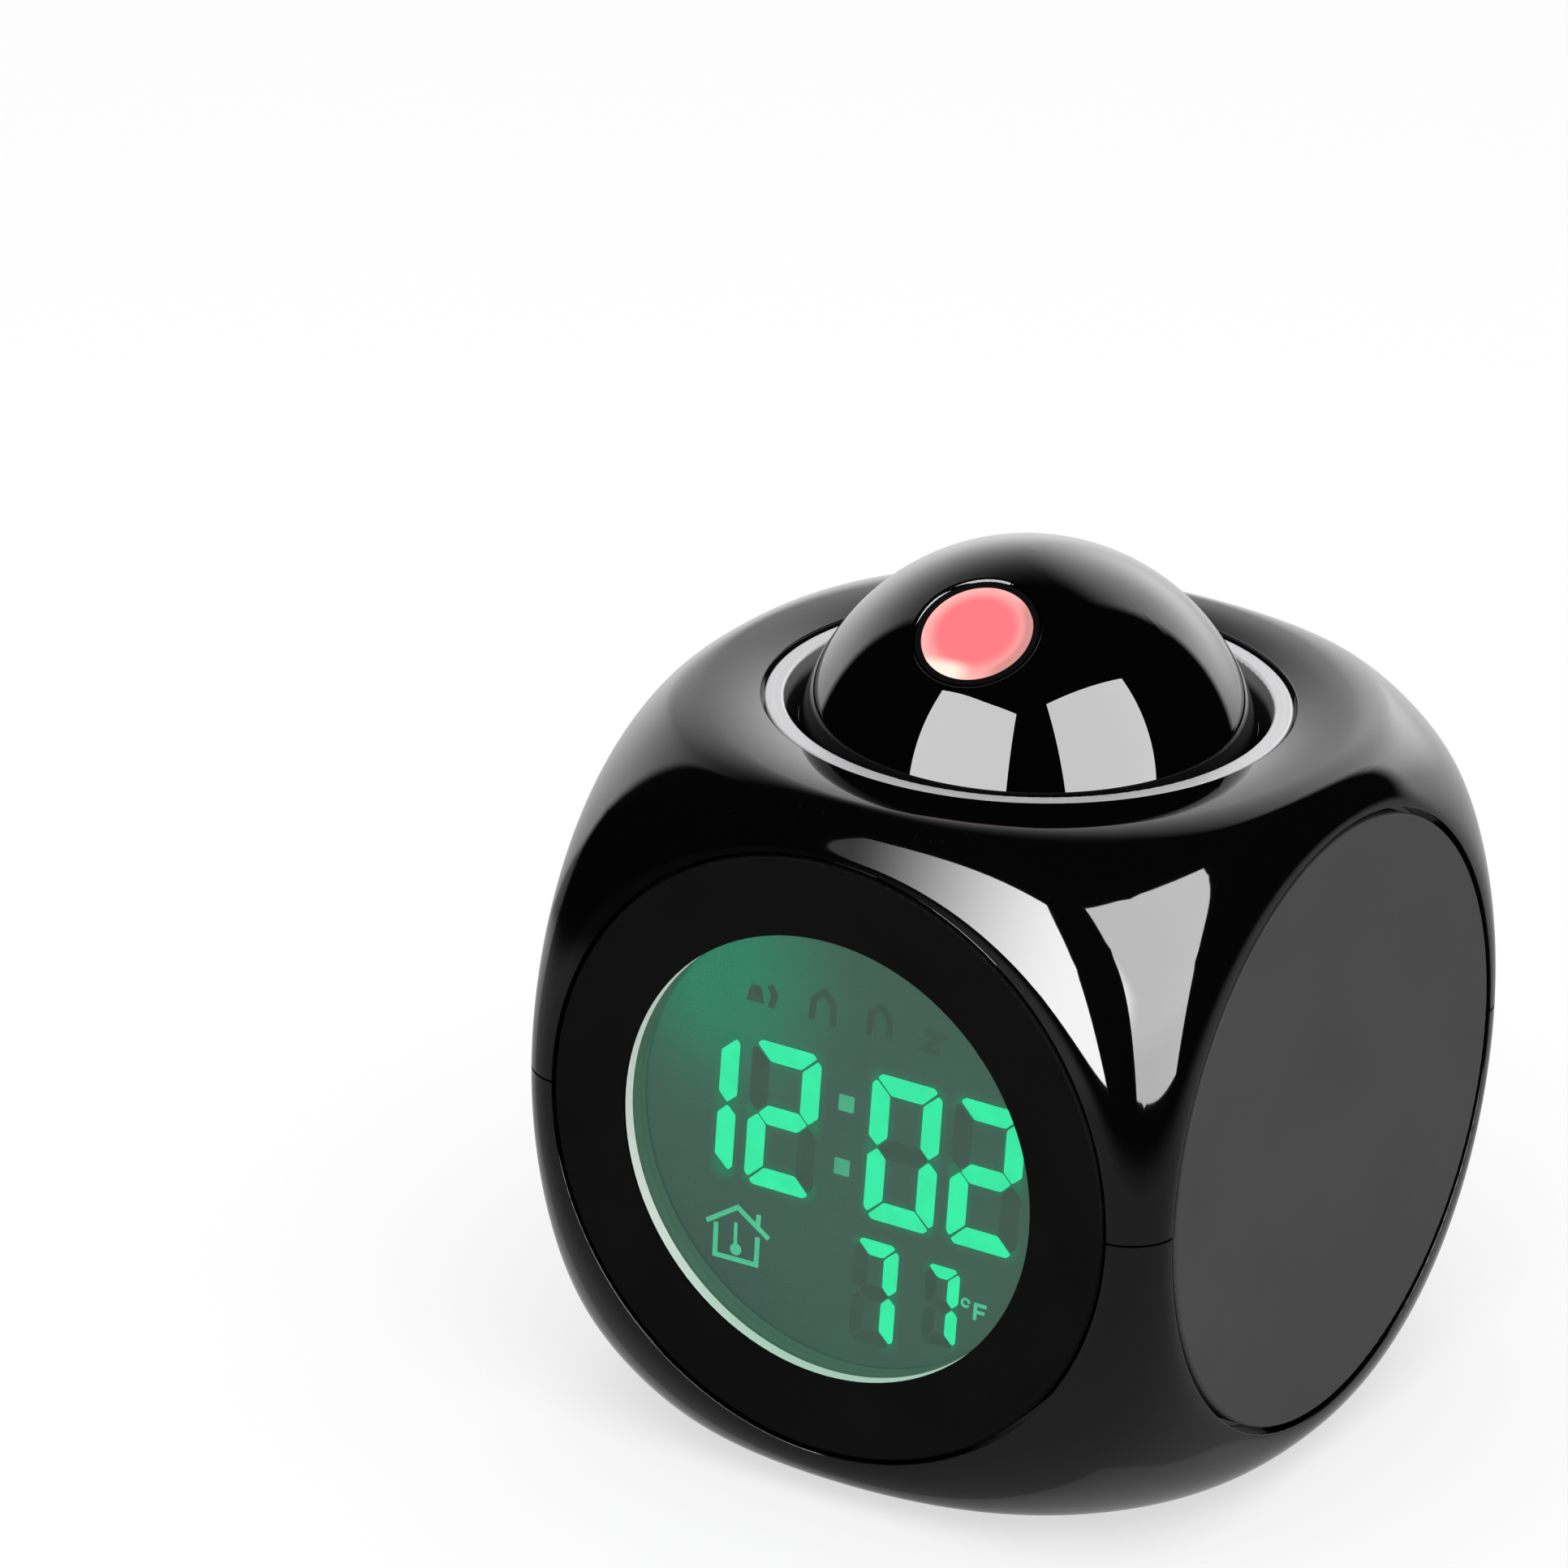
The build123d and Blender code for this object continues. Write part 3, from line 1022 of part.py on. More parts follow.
# ------------------------------------------------------------------ all nodes
def clock_parts():
    walls, outer = case_walls()
    parts = {
        "upper_shell": upper_shell(walls),
        "lower_shell": lower_shell(walls, outer),
        "left_side_plate": side_plate(-1),
        "right_side_plate": side_plate(1),
    }
    makers = (
        front_bezel, display_surround, display_window, lcd_frame, lcd_glass, backlight_panel,
        zebra_connector, clock_board, board_components, temperature_sensor, display_screws,
        rear_panel, key_switches, key_board, key_board_screws, projection_switch_body,
        projection_switch_knob, speaker_basket, speaker_cone, speaker_magnet, trim_ring,
        dome_cap, dome_base, dome_carrier, pivot_washer, pivot_screw, return_spring,
        dome_bracket, bracket_screws, talk_switch, lens_barrel, projection_lens,
        condenser_lens, projector_film, projector_led, projector_board, battery_door,
        aaa_cells, battery_plates, battery_springs, rubber_feet, case_screws,
        battery_leads, speaker_leads, board_cable, projector_lead,
    )
    for maker in makers:
        parts[maker.__name__] = maker()
    for name, x in zip(("mode_key", "hour_key", "minute_key", "alarm_key"), reversed(KEY_PLACES)):
        parts[name] = key(x)
    return parts


os.makedirs("parts", exist_ok=True)
for node, shape in clock_parts().items():
    export_step(shape, f"parts/{node}.step")
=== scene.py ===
from math import cos, hypot, pi, radians, sin, sqrt

import bmesh
import bpy
import numpy
from mathutils import Matrix, Vector
from mathutils.bvhtree import BVHTree


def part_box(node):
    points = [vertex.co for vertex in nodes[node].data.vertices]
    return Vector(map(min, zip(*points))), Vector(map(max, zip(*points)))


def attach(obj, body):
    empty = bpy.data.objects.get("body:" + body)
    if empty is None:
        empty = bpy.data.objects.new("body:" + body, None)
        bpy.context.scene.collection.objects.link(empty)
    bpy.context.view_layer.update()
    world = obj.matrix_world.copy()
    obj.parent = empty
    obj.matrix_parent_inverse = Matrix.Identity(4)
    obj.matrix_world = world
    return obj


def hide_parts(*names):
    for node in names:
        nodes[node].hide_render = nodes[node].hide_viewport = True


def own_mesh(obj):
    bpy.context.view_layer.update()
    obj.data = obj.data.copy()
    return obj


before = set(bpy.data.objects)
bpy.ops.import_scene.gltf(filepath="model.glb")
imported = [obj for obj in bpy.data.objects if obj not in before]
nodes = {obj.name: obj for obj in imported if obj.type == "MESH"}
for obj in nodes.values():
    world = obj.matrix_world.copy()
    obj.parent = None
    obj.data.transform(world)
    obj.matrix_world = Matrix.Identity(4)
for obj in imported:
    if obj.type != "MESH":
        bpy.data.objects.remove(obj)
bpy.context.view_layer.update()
mm = 0.001

caseMiddle = Vector((0, 0, (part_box("lower_shell")[0].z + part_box("upper_shell")[1].z) / 2))
footLow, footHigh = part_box("dome_base")
domeRadius = (footHigh.x - footLow.x) / 2
domeMiddle = Vector((0, 0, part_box("dome_cap")[1].z - domeRadius))
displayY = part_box("lcd_glass")[0].y
print("frame loaded:", len(nodes), "nodes")


# steps shared by the camera, the studio and the materials
def fill(tree, socket, value):
    # a plain value is set on the socket itself, an output is linked to it
    if isinstance(value, (int, float, tuple, Vector)):
        socket.default_value = value
    else:
        tree.links.new(value, socket)


def feed(tree, step, **values):
    for name, value in values.items():
        fill(tree, step.inputs[name.replace("_", " ")], value)


def addNode(tree, kind, **values):
    # a node with its sockets filled, by its first output
    step = tree.nodes.new(kind)
    feed(tree, step, **values)
    return step.outputs[0]


def newGroup(name, wants, gives):
    # takes Vector and the wanted sockets (None asks for a vector too), gives plain numbers
    group = bpy.data.node_groups.new(name, "ShaderNodeTree")
    for socket, value in {"Vector": None, **wants}.items():
        kind = "NodeSocketVector" if value is None else "NodeSocketFloat"
        made = group.interface.new_socket(name=socket, in_out="INPUT", socket_type=kind)
        if value is not None:
            made.default_value = value
    for socket in gives:
        group.interface.new_socket(name=socket, in_out="OUTPUT", socket_type="NodeSocketFloat")
    return group, group.nodes.new("NodeGroupInput").outputs, group.nodes.new("NodeGroupOutput")


def addMath(tree, operation, first, second=None, clamp=False):
    step = tree.nodes.new("ShaderNodeMath")
    step.operation = operation
    step.use_clamp = clamp
    for place, value in enumerate((first, second)):
        if value is not None:
            fill(tree, step.inputs[place], value)
    return step.outputs[0]


def addProduct(tree, product, *others):
    for value in others:
        product = addMath(tree, "MULTIPLY", product, value)
    return product


def addVector(tree, operation, first, second=None, scale=None):
    step = tree.nodes.new("ShaderNodeVectorMath")
    step.operation = operation
    for socket, value in ((0, first), (1, second), ("Scale", scale)):
        if value is not None:
            fill(tree, step.inputs[socket], value)
    return step.outputs["Value"] if operation in ("DOT_PRODUCT", "LENGTH", "DISTANCE") else step.outputs[0]


def addRange(tree, value, low, high, toLow=0.0, toHigh=1.0, smooth=True):
    step = tree.nodes.new("ShaderNodeMapRange")
    step.interpolation_type = "SMOOTHSTEP" if smooth else "LINEAR"
    feed(tree, step, Value=value, From_Min=low, From_Max=high, To_Min=toLow, To_Max=toHigh)
    return step.outputs["Result"]


def addReach(tree, across, rise):
    # the length of a step across and up
    squares = (addProduct(tree, part, part) for part in (across, rise))
    return addMath(tree, "SQRT", addMath(tree, "ADD", *squares))


def addMix(tree, mask, first, second):
    step = tree.nodes.new("ShaderNodeMix")
    step.data_type = "RGBA"
    for place, value in ((0, mask), (6, first), (7, second)):
        fill(tree, step.inputs[place], value)
    return step.outputs[2]


def addNoise(tree, vector, scale, detail=2.0, roughness=0.5):
    return addNode(tree, "ShaderNodeTexNoise", Vector=vector, Scale=scale, Detail=detail, Roughness=roughness)


def splitAxes(tree, vector):
    parts = tree.nodes.new("ShaderNodeSeparateXYZ")
    tree.links.new(vector, parts.inputs[0])
    return parts.outputs["X"], parts.outputs["Y"], parts.outputs["Z"]


def mixShaders(tree, mask, first, second):
    mixed = tree.nodes.new("ShaderNodeMixShader")
    for place, value in enumerate((mask, first, second)):
        fill(tree, mixed.inputs[place], value)
    return mixed.outputs[0]


def emptyTree(owner, kind="ShaderNodeOutputMaterial"):
    # the owner's cleared nodes and the socket that takes its shader
    owner.use_nodes = True
    owner.node_tree.nodes.clear()
    return owner.node_tree, owner.node_tree.nodes.new(kind).inputs["Surface"]


def grey(value):
    return (value, value, value, 1)


def newObject(name, data):
    added = bpy.data.objects.new(name, data)
    bpy.context.collection.objects.link(added)
    return added


def newPanel(name, material, corners):
    # a flat piece of the studio with an empty material of its own
    mesh = bpy.data.meshes.new(name)
    mesh.from_pydata(corners, [], [(0, 1, 2, 3)])
    mesh.materials.append(bpy.data.materials.new(material))
    return (newObject(name, mesh), *emptyTree(mesh.materials[0]))


def aimed(azimuth, elevation=0.0):
    # the unit vector that points that way, in degrees round from the front and up
    turn, rise = radians(azimuth), radians(elevation)
    return Vector((sin(turn) * cos(rise), -cos(turn) * cos(rise), sin(rise)))


def lookingBack(look):
    # outward, right and up of something that stands that way and looks back, turned by its roll
    outward, level = aimed(look["azimuth"], look["elevation"]), aimed(look["azimuth"] + 90)
    upward, roll = outward.cross(level), radians(look["roll"])
    return outward, level * cos(roll) + upward * sin(roll), upward * cos(roll) - level * sin(roll)


# camera
cameraLook = {"azimuth": 31.818, "elevation": 23.292, "roll": 1.336, "distance": 1.046114,
              "right": -0.025662, "up": 0.027257, "lens": 218.674, "sensor": 36, "clip": (0.02, 60)}


def makeCamera():
    back, right, up = lookingBack(cameraLook)
    place = caseMiddle + back * cameraLook["distance"] + right * cameraLook["right"] + up * cameraLook["up"]
    data = bpy.data.cameras.new("camera")
    data.lens = cameraLook["lens"]
    data.sensor_width = cameraLook["sensor"]
    data.clip_start, data.clip_end = cameraLook["clip"]
    camera = newObject("camera", data)
    camera.matrix_world = Matrix.Translation(place) @ Matrix((right, up, back)).transposed().to_4x4()
    bpy.context.scene.camera = camera


makeCamera()
bpy.context.scene.view_settings.view_transform = "Standard"


# light: a studio that is bright behind the clock and dark in front, and two soft boxes
# polished and clear faces see a backdrop behind the clock, brighter low down and near its right edge, and a dim
# floor, with the rest nearly black; matte faces get one even light, and the camera sees plain white
studioLook = {"even": 0.85, "dark": 0.004, "backdrop": 1.75, "rightEdge": 157, "rightLean": -12, "leftEdge": -100,
              "soft": 0.05, "top": (0.85, 0.09), "foot": (-0.50, 0.12, 0.3), "lobeWay": (178, 24),
              "lobe": (0.84, 0.99, 0.0, 1.35), "floor": (-0.16, -0.33), "floorTone": 0.35}
softBoxes = [
    {"name": "soft_box_left", "azimuth": -5.6, "elevation": 29.9, "roll": 4.2, "top": 0.74, "bottom": 0.97,
     "height": 0.77, "drop": 0.34, "strength": 14.5, "foot": 1.0},
    {"name": "soft_box_right", "azimuth": 75.2, "elevation": 32.7, "roll": -5.0, "top": 0.79, "bottom": 0.94,
     "height": 0.885, "drop": 0.31, "strength": 14.1, "foot": 0.90},
]
# their distance from the dome, where their light fades below the top edge, as shares of their height, and the
# ray depth from which they are no longer seen
softBoxRig = {"distance": 1.5, "fadeFrom": -0.02, "fadeTo": 0.15, "lastBounce": 1.5}


def makeWorld():
    world = bpy.data.worlds.new("studio")
    bpy.context.scene.world = world
    tree, surface = emptyTree(world, "ShaderNodeOutputWorld")
    look = studioLook
    way = tree.nodes.new("ShaderNodeTexCoord").outputs["Generated"]
    height = addVector(tree, "DOT_PRODUCT", way, Vector((0, 0, 1)))
    rightOf = addVector(tree, "DOT_PRODUCT", way, aimed(look["rightEdge"] + 90, look["rightLean"]))
    leftOf = addVector(tree, "DOT_PRODUCT", way, aimed(look["leftEdge"] - 90))
    between = addProduct(tree, *(addRange(tree, side, -look["soft"], look["soft"]) for side in (rightOf, leftOf)))
    top, foot = addRange(tree, height, *look["top"]), addRange(tree, height, *look["foot"])
    lobe = addRange(tree, addVector(tree, "DOT_PRODUCT", way, aimed(*look["lobeWay"])), *look["lobe"])
    backdrop = addProduct(tree, top, foot, look["backdrop"])
    backdrop = addProduct(tree, addMath(tree, "ADD", backdrop, lobe), between)
    floor = addRange(tree, height, *look["floor"], look["dark"], look["floorTone"])
    mirrored = addNode(tree, "ShaderNodeBackground", Color=addMath(tree, "MAXIMUM", backdrop, floor))
    even = addNode(tree, "ShaderNodeBackground", Color=grey(1), Strength=look["even"])
    seen = addNode(tree, "ShaderNodeBackground", Color=grey(1))
    ray = tree.nodes.new("ShaderNodeLightPath").outputs
    polished = addMath(tree, "MAXIMUM", ray["Is Glossy Ray"], ray["Is Transmission Ray"])
    lit = mixShaders(tree, polished, even, mirrored)
    tree.links.new(mixShaders(tree, ray["Is Camera Ray"], lit, seen), surface)


def makeSoftBox(look):
    outward, right, up = lookingBack(look)
    distance = softBoxRig["distance"]
    middle = domeMiddle + outward * distance
    spread = (look["bottom"] - look["top"]) / look["height"]
    top, foot = look["height"] / 2, -look["height"] / 2 - look["drop"]
    corners = []
    for side, rise in ((-1, foot), (1, foot), (1, top), (-1, top)):
        width = look["top"] + spread * (top - rise)
        corners.append(middle + (right * side * width / 2 + up * rise) * distance)
    panel, tree, surface = newPanel(look["name"], look["name"], corners)
    height = addVector(tree, "DOT_PRODUCT", tree.nodes.new("ShaderNodeNewGeometry").outputs["Position"], up)
    edge, size = middle.dot(up) - top * distance, look["height"] * distance
    strength = addRange(tree, height, edge - softBoxRig["fadeFrom"] * size, edge - softBoxRig["fadeTo"] * size,
                        look["strength"], look["strength"] * look["foot"], smooth=False)
    bounce = tree.nodes.new("ShaderNodeLightPath").outputs["Ray Depth"]
    once = addMath(tree, "LESS_THAN", bounce, softBoxRig["lastBounce"])  # so no second patches are mirrored
    tree.links.new(addNode(tree, "ShaderNodeEmission", Strength=addProduct(tree, once, strength)), surface)
    panel.visible_camera = panel.visible_diffuse = panel.visible_transmission = panel.visible_shadow = False


floorLook = {"size": 8.0, "colour": grey(0.93), "white": 1.0, "keepsShadow": 0.35}


def makeFloor():
    half = floorLook["size"] / 2
    corners = [(-half, -half, 0), (half, -half, 0), (half, half, 0), (-half, half, 0)]
    floor, tree, surface = newPanel("floor", "floor_paper", corners)
    matte = addNode(tree, "ShaderNodeBsdfDiffuse", Color=floorLook["colour"])
    white = addNode(tree, "ShaderNodeEmission", Strength=floorLook["white"])
    seen = mixShaders(tree, floorLook["keepsShadow"], white, matte)
    ray = tree.nodes.new("ShaderNodeLightPath").outputs
    tree.links.new(mixShaders(tree, ray["Is Camera Ray"], matte, seen), surface)
    floor.visible_glossy = False


lampLook = {"azimuth": 31, "elevation": 62, "distance": 1.2, "size": 0.9, "power": 6.0}


def makeLamp():
    outward = aimed(lampLook["azimuth"], lampLook["elevation"])
    data = bpy.data.lights.new("overhead_lamp", "AREA")
    data.size = lampLook["size"]
    data.energy = lampLook["power"]
    lamp = newObject("overhead_lamp", data)
    lamp.location = caseMiddle + outward * lampLook["distance"]
    lamp.rotation_euler = outward.to_track_quat("Z", "Y").to_euler()
    lamp.visible_glossy = False


makeWorld()
for look in softBoxes:
    makeSoftBox(look)
makeFloor()
makeLamp()
print("camera, studio and floor ready")


# shader groups
grainShape = {"detail": 3.0, "rough": 0.6, "broader": 0.02, "fineShare": 0.6, "broadShare": 0.4, "shade": (0.3, 0.7)}


def makeGrainGroup():
    # fine spark-eroded mould grain: Height for a bump, Shade for colour and roughness
    group, given, made = newGroup("mould_grain", {"Size": 0.3}, ("Height", "Shade"))
    density = addMath(group, "DIVIDE", 1.0 / mm, given["Size"])
    fine = addNoise(group, given["Vector"], density, grainShape["detail"], grainShape["rough"])
    broad = addNoise(group, given["Vector"], addProduct(group, density, grainShape["broader"]))
    mixed = addMath(group, "ADD", addProduct(group, fine, grainShape["fineShare"]),
                    addProduct(group, broad, grainShape["broadShare"]))
    feed(group, made, Height=fine, Shade=addRange(group, mixed, *grainShape["shade"]))
    return group


dustShape = {"specks": 900, "speck": (0.10, 0.04), "patches": 160.0, "dusty": (0.52, 0.7),
             "facing": (-0.2, 0.9, 0.15)}


def makeDustGroup():
    # sparse specks, thicker where the surface faces up
    group, given, made = newGroup("fine_dust", {"Amount": 0.2}, ("Mask",))
    cells = addNode(group, "ShaderNodeTexVoronoi", Vector=given["Vector"], Scale=dustShape["specks"])
    speck = addRange(group, cells, *dustShape["speck"])
    patchy = addRange(group, addNoise(group, given["Vector"], dustShape["patches"], 3.0), *dustShape["dusty"])
    shape = group.nodes.new("ShaderNodeNewGeometry").outputs
    upward = addVector(group, "DOT_PRODUCT", shape["Normal"], (0.0, 0.0, 1.0))
    mask = addProduct(group, speck, patchy, addRange(group, upward, *dustShape["facing"]))
    feed(group, made, Mask=addMath(group, "MULTIPLY", mask, given["Amount"], True))
    return group


hazeShape = {"stretch": (1.0, 0.35, 0.8), "clouds": 55.0, "hazy": (0.4, 0.75), "waves": 30.0}


def makeHazeGroup():
    # faint wiping haze that roughens a polished face here and there
    group, given, made = newGroup("wiping_haze", {"Low": 0.02, "High": 0.06}, ("Roughness", "Height"))
    stretch = addVector(group, "MULTIPLY", given["Vector"], hazeShape["stretch"])
    cloud = addNoise(group, stretch, hazeShape["clouds"], 4.0, 0.6)
    feed(group, made, Roughness=addRange(group, cloud, *hazeShape["hazy"], given["Low"], given["High"]),
         Height=addNoise(group, given["Vector"], hazeShape["waves"], 1.0))
    return group


wearShape = {"samples": 4, "radius": 0.25 * mm, "sharp": (0.99, 0.86), "patches": 420.0, "rubbed": (0.42, 0.66)}


def makeWearGroup():
    # lighter, rubbed edges, found by rounding the normal over a small radius
    group, given, made = newGroup("edge_wear", {"Amount": 0.5}, ("Mask",))
    soft = group.nodes.new("ShaderNodeBevel")
    soft.samples = wearShape["samples"]
    soft.inputs["Radius"].default_value = wearShape["radius"]
    sharp = group.nodes.new("ShaderNodeNewGeometry").outputs
    turn = addVector(group, "DOT_PRODUCT", soft.outputs["Normal"], sharp["Normal"])
    patchy = addRange(group, addNoise(group, given["Vector"], wearShape["patches"], 3.0), *wearShape["rubbed"])
    mask = addProduct(group, addRange(group, turn, *wearShape["sharp"]), patchy)
    feed(group, made, Mask=addMath(group, "MULTIPLY", mask, given["Amount"], True))
    return group


def makeBrushGroup():
    # round turned or brushed lines about the upright axis
    group, given, made = newGroup("turned_lines", {"Fine": 9000.0}, ("Height", "Shade"))
    x, y, z = splitAxes(group, given["Vector"])
    line = addNode(group, "ShaderNodeCombineXYZ", X=addReach(group, x, y), Y=z)
    ridges = addNoise(group, line, given["Fine"])
    feed(group, made, Height=ridges, Shade=addRange(group, ridges, 0.3, 0.7))
    return group


def makeGlowGroup():
    # light round one lit stroke of the display, by the distance from the stroke's middle line
    group, given, made = newGroup("stroke_glow", {"Start": None, "End": None, "Reach": 0.002}, ("Mask",))
    along = addVector(group, "SUBTRACT", given["End"], given["Start"])
    offset = addVector(group, "SUBTRACT", given["Vector"], given["Start"])
    share = addMath(group, "DIVIDE", addVector(group, "DOT_PRODUCT", offset, along),
                    addVector(group, "DOT_PRODUCT", along, along), True)
    nearest = addVector(group, "SCALE", along, scale=share)
    gap = addVector(group, "LENGTH", addVector(group, "SUBTRACT", offset, nearest))
    feed(group, made, Mask=addRange(group, addMath(group, "DIVIDE", gap, given["Reach"]), 1.0, 0.3))
    return group


grainGroup = makeGrainGroup()
dustGroup = makeDustGroup()
hazeGroup = makeHazeGroup()
wearGroup = makeWearGroup()
brushGroup = makeBrushGroup()
glowGroup = makeGlowGroup()
print("shader groups ready")


# materials
def newMaterial(name, **plain):
    made = bpy.data.materials.new(name)
    made.use_nodes = True
    tree = made.node_tree
    shader = tree.nodes["Principled BSDF"]
    feed(tree, shader, **plain)
    place = tree.nodes.new("ShaderNodeTexCoord").outputs["Object"]
    return made, tree, shader, place


def addGroup(tree, group, place, **values):
    step = tree.nodes.new("ShaderNodeGroup")
    step.node_tree = group
    feed(tree, step, Vector=place, **values)
    return step.outputs


def addBump(tree, shader, height, strength, distance):
    feed(tree, shader, Normal=addNode(tree, "ShaderNodeBump", Height=height, Strength=strength, Distance=distance))


def addLight(tree, shader, tone, strength, darker=0.0):
    # the tone is given off as light, and shows in the room's light too, darker by that share
    base = addMix(tree, darker, tone, grey(0)) if darker else tone
    feed(tree, shader, Base_Color=base, Emission_Color=tone, Emission_Strength=strength)


# how much dust roughens, its colour on satin faces, and how high each finish's bumps stand
finishLook = {"ior": 1.5, "dustRough": 0.4, "dust": (0.25, 0.25, 0.24, 1), "roughSpread": 0.04,
              "polishedBump": 0.02 * mm, "satinBump": 0.03 * mm, "turnedBump": 0.01 * mm}


def polishedPlastic(look):
    made, tree, shader, place = newMaterial(look["name"], IOR=look.get("ior", finishLook["ior"]))
    haze = addGroup(tree, hazeGroup, place, Low=look["smooth"], High=look["hazy"])
    dust = addGroup(tree, dustGroup, place, Amount=look["dust"])
    dusty = addProduct(tree, dust["Mask"], finishLook["dustRough"])
    feed(tree, shader, Base_Color=addMix(tree, dust["Mask"], look["colour"], look["dustColour"]),
         Roughness=addMath(tree, "ADD", haze["Roughness"], dusty))
    addBump(tree, shader, haze["Height"], look["wave"], finishLook["polishedBump"])
    return made


def satinPlastic(look):
    made, tree, shader, place = newMaterial(look["name"], IOR=look.get("ior", finishLook["ior"]))
    grain = addGroup(tree, grainGroup, place, Size=look["grain"])
    wear = addGroup(tree, wearGroup, place, Amount=look["wear"])
    dust = addGroup(tree, dustGroup, place, Amount=look["dust"])
    shade = addMix(tree, grain["Shade"], look["colour"], look["second"])
    worn = addMix(tree, wear["Mask"], shade, look["worn"])
    low, high = look["rough"] - finishLook["roughSpread"], look["rough"] + finishLook["roughSpread"]
    feed(tree, shader, Base_Color=addMix(tree, dust["Mask"], worn, finishLook["dust"]),
         Roughness=addRange(tree, grain["Shade"], 0.0, 1.0, low, high))
    addBump(tree, shader, grain["Height"], look["depth"], finishLook["satinBump"])
    return made


def turnedMetal(look):
    made, tree, shader, place = newMaterial(look["name"], Metallic=look.get("metal", 1.0))
    lines = addGroup(tree, brushGroup, place, Fine=look["fine"])
    haze = addGroup(tree, hazeGroup, place, Low=look["smooth"], High=look["hazy"])
    tone = addMix(tree, lines["Shade"], look["colour"], look["second"])
    # painted shade: below the given height the tone turns to the shaded colour
    if "shadedBelow" in look:
        deep = addRange(tree, splitAxes(tree, place)[2], *look["shadedBelow"])
        tone = addMix(tree, deep, tone, look["shaded"])
    feed(tree, shader, Base_Color=tone, Roughness=haze["Roughness"])
    addBump(tree, shader, lines["Height"], look["depth"], finishLook["turnedBump"])
    return made


caseLook = {"name": "case_gloss", "colour": (0.0012, 0.0012, 0.0015, 1), "dustColour": grey(0.12), "ior": 1.46,
            "smooth": 0.03, "hazy": 0.07, "dust": 0.12, "wave": 0.03}
polishedLooks = {
    "case": caseLook,
    "dome": {"name": "dome_gloss", "colour": (0.0008, 0.0008, 0.0010, 1), "dustColour": grey(0.10), "smooth": 0.0,
             "hazy": 0.03, "dust": 0.06, "wave": 0.01},
    "wire": {**caseLook, "name": "wire_sleeve", "colour": (0.32, 0.02, 0.02, 1), "smooth": 0.3, "hazy": 0.45},
    "cable": {**caseLook, "name": "cable_sleeve", "colour": (0.30, 0.30, 0.31, 1), "smooth": 0.3, "hazy": 0.45},
    "lamp": {**caseLook, "name": "lamp_epoxy", "colour": (0.75, 0.68, 0.30, 1), "smooth": 0.1, "hazy": 0.2},
    "film": {**caseLook, "name": "film", "colour": (0.01, 0.01, 0.012, 1), "smooth": 0.15, "hazy": 0.25},
}
innerLook = {"name": "inner_moulding", "colour": (0.05, 0.05, 0.052, 1), "second": (0.07, 0.07, 0.072, 1),
             "worn": grey(0.12), "rough": 0.55, "grain": 0.25, "wear": 0.4, "depth": 0.2, "dust": 0.1}
satinLooks = {
    "bezel": {"name": "bezel_matte", "colour": (0.0027, 0.0027, 0.0028, 1), "second": (0.0036, 0.0036, 0.0037, 1),
              "ior": 1.06, "worn": grey(0.010), "rough": 0.45, "grain": 0.22, "wear": 0.5, "depth": 0.10,
              "dust": 0.06},
    "disc": {"name": "side_disc_matte", "colour": grey(0.054), "second": grey(0.061), "ior": 1.1,
             "worn": grey(0.09), "rough": 0.55, "grain": 0.22, "wear": 0.4, "depth": 0.12, "dust": 0.06},
    "key": {"name": "key_rubber", "colour": (0.010, 0.010, 0.011, 1), "second": (0.016, 0.016, 0.017, 1),
            "worn": grey(0.05), "rough": 0.50, "grain": 0.18, "wear": 0.7, "depth": 0.25, "dust": 0.2},
    "feet": {"name": "foot_rubber", "colour": grey(0.012), "second": (0.022, 0.022, 0.021, 1),
             "worn": (0.06, 0.06, 0.058, 1), "rough": 0.75, "grain": 0.30, "wear": 0.8, "depth": 0.5, "dust": 0.5},
    "inner": innerLook,
    "paper": {**innerLook, "name": "speaker_paper", "colour": (0.02, 0.02, 0.021, 1), "rough": 0.85},
    "epoxy": {**innerLook, "name": "chip_epoxy", "colour": (0.012, 0.012, 0.013, 1), "rough": 0.5},
    "ferrite": {**innerLook, "name": "ferrite", "colour": (0.03, 0.03, 0.032, 1), "rough": 0.6},
    "white": {"name": "white_moulding", "colour": (0.62, 0.62, 0.60, 1), "second": (0.70, 0.70, 0.68, 1),
              "worn": (0.5, 0.5, 0.48, 1), "rough": 0.45, "grain": 0.25, "wear": 0.3, "depth": 0.15, "dust": 0.1},
}
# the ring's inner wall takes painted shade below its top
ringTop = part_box("trim_ring")[1].z
turnedLooks = {
    "ring": {"name": "ring_satin_silver", "colour": (0.50, 0.50, 0.51, 1), "second": (0.56, 0.56, 0.57, 1),
             "smooth": 0.32, "hazy": 0.44, "fine": 9000.0, "depth": 0.05, "metal": 0.25, "shaded": grey(0.03),
             "shadedBelow": (ringTop - 1.3 * mm, ringTop - 2.6 * mm)},
    "steel": {"name": "plated_steel", "colour": (0.45, 0.45, 0.44, 1), "second": (0.62, 0.62, 0.60, 1),
              "smooth": 0.22, "hazy": 0.38, "fine": 5000.0, "depth": 0.1},
    "nickel": {"name": "nickel_contact", "colour": (0.60, 0.57, 0.50, 1), "second": (0.72, 0.69, 0.62, 1),
               "smooth": 0.15, "hazy": 0.30, "fine": 4000.0, "depth": 0.08},
}
finishes = {}
for makeFinish, looks in ((polishedPlastic, polishedLooks), (satinPlastic, satinLooks), (turnedMetal, turnedLooks)):
    for finish, look in looks.items():
        finishes[finish] = makeFinish(look)
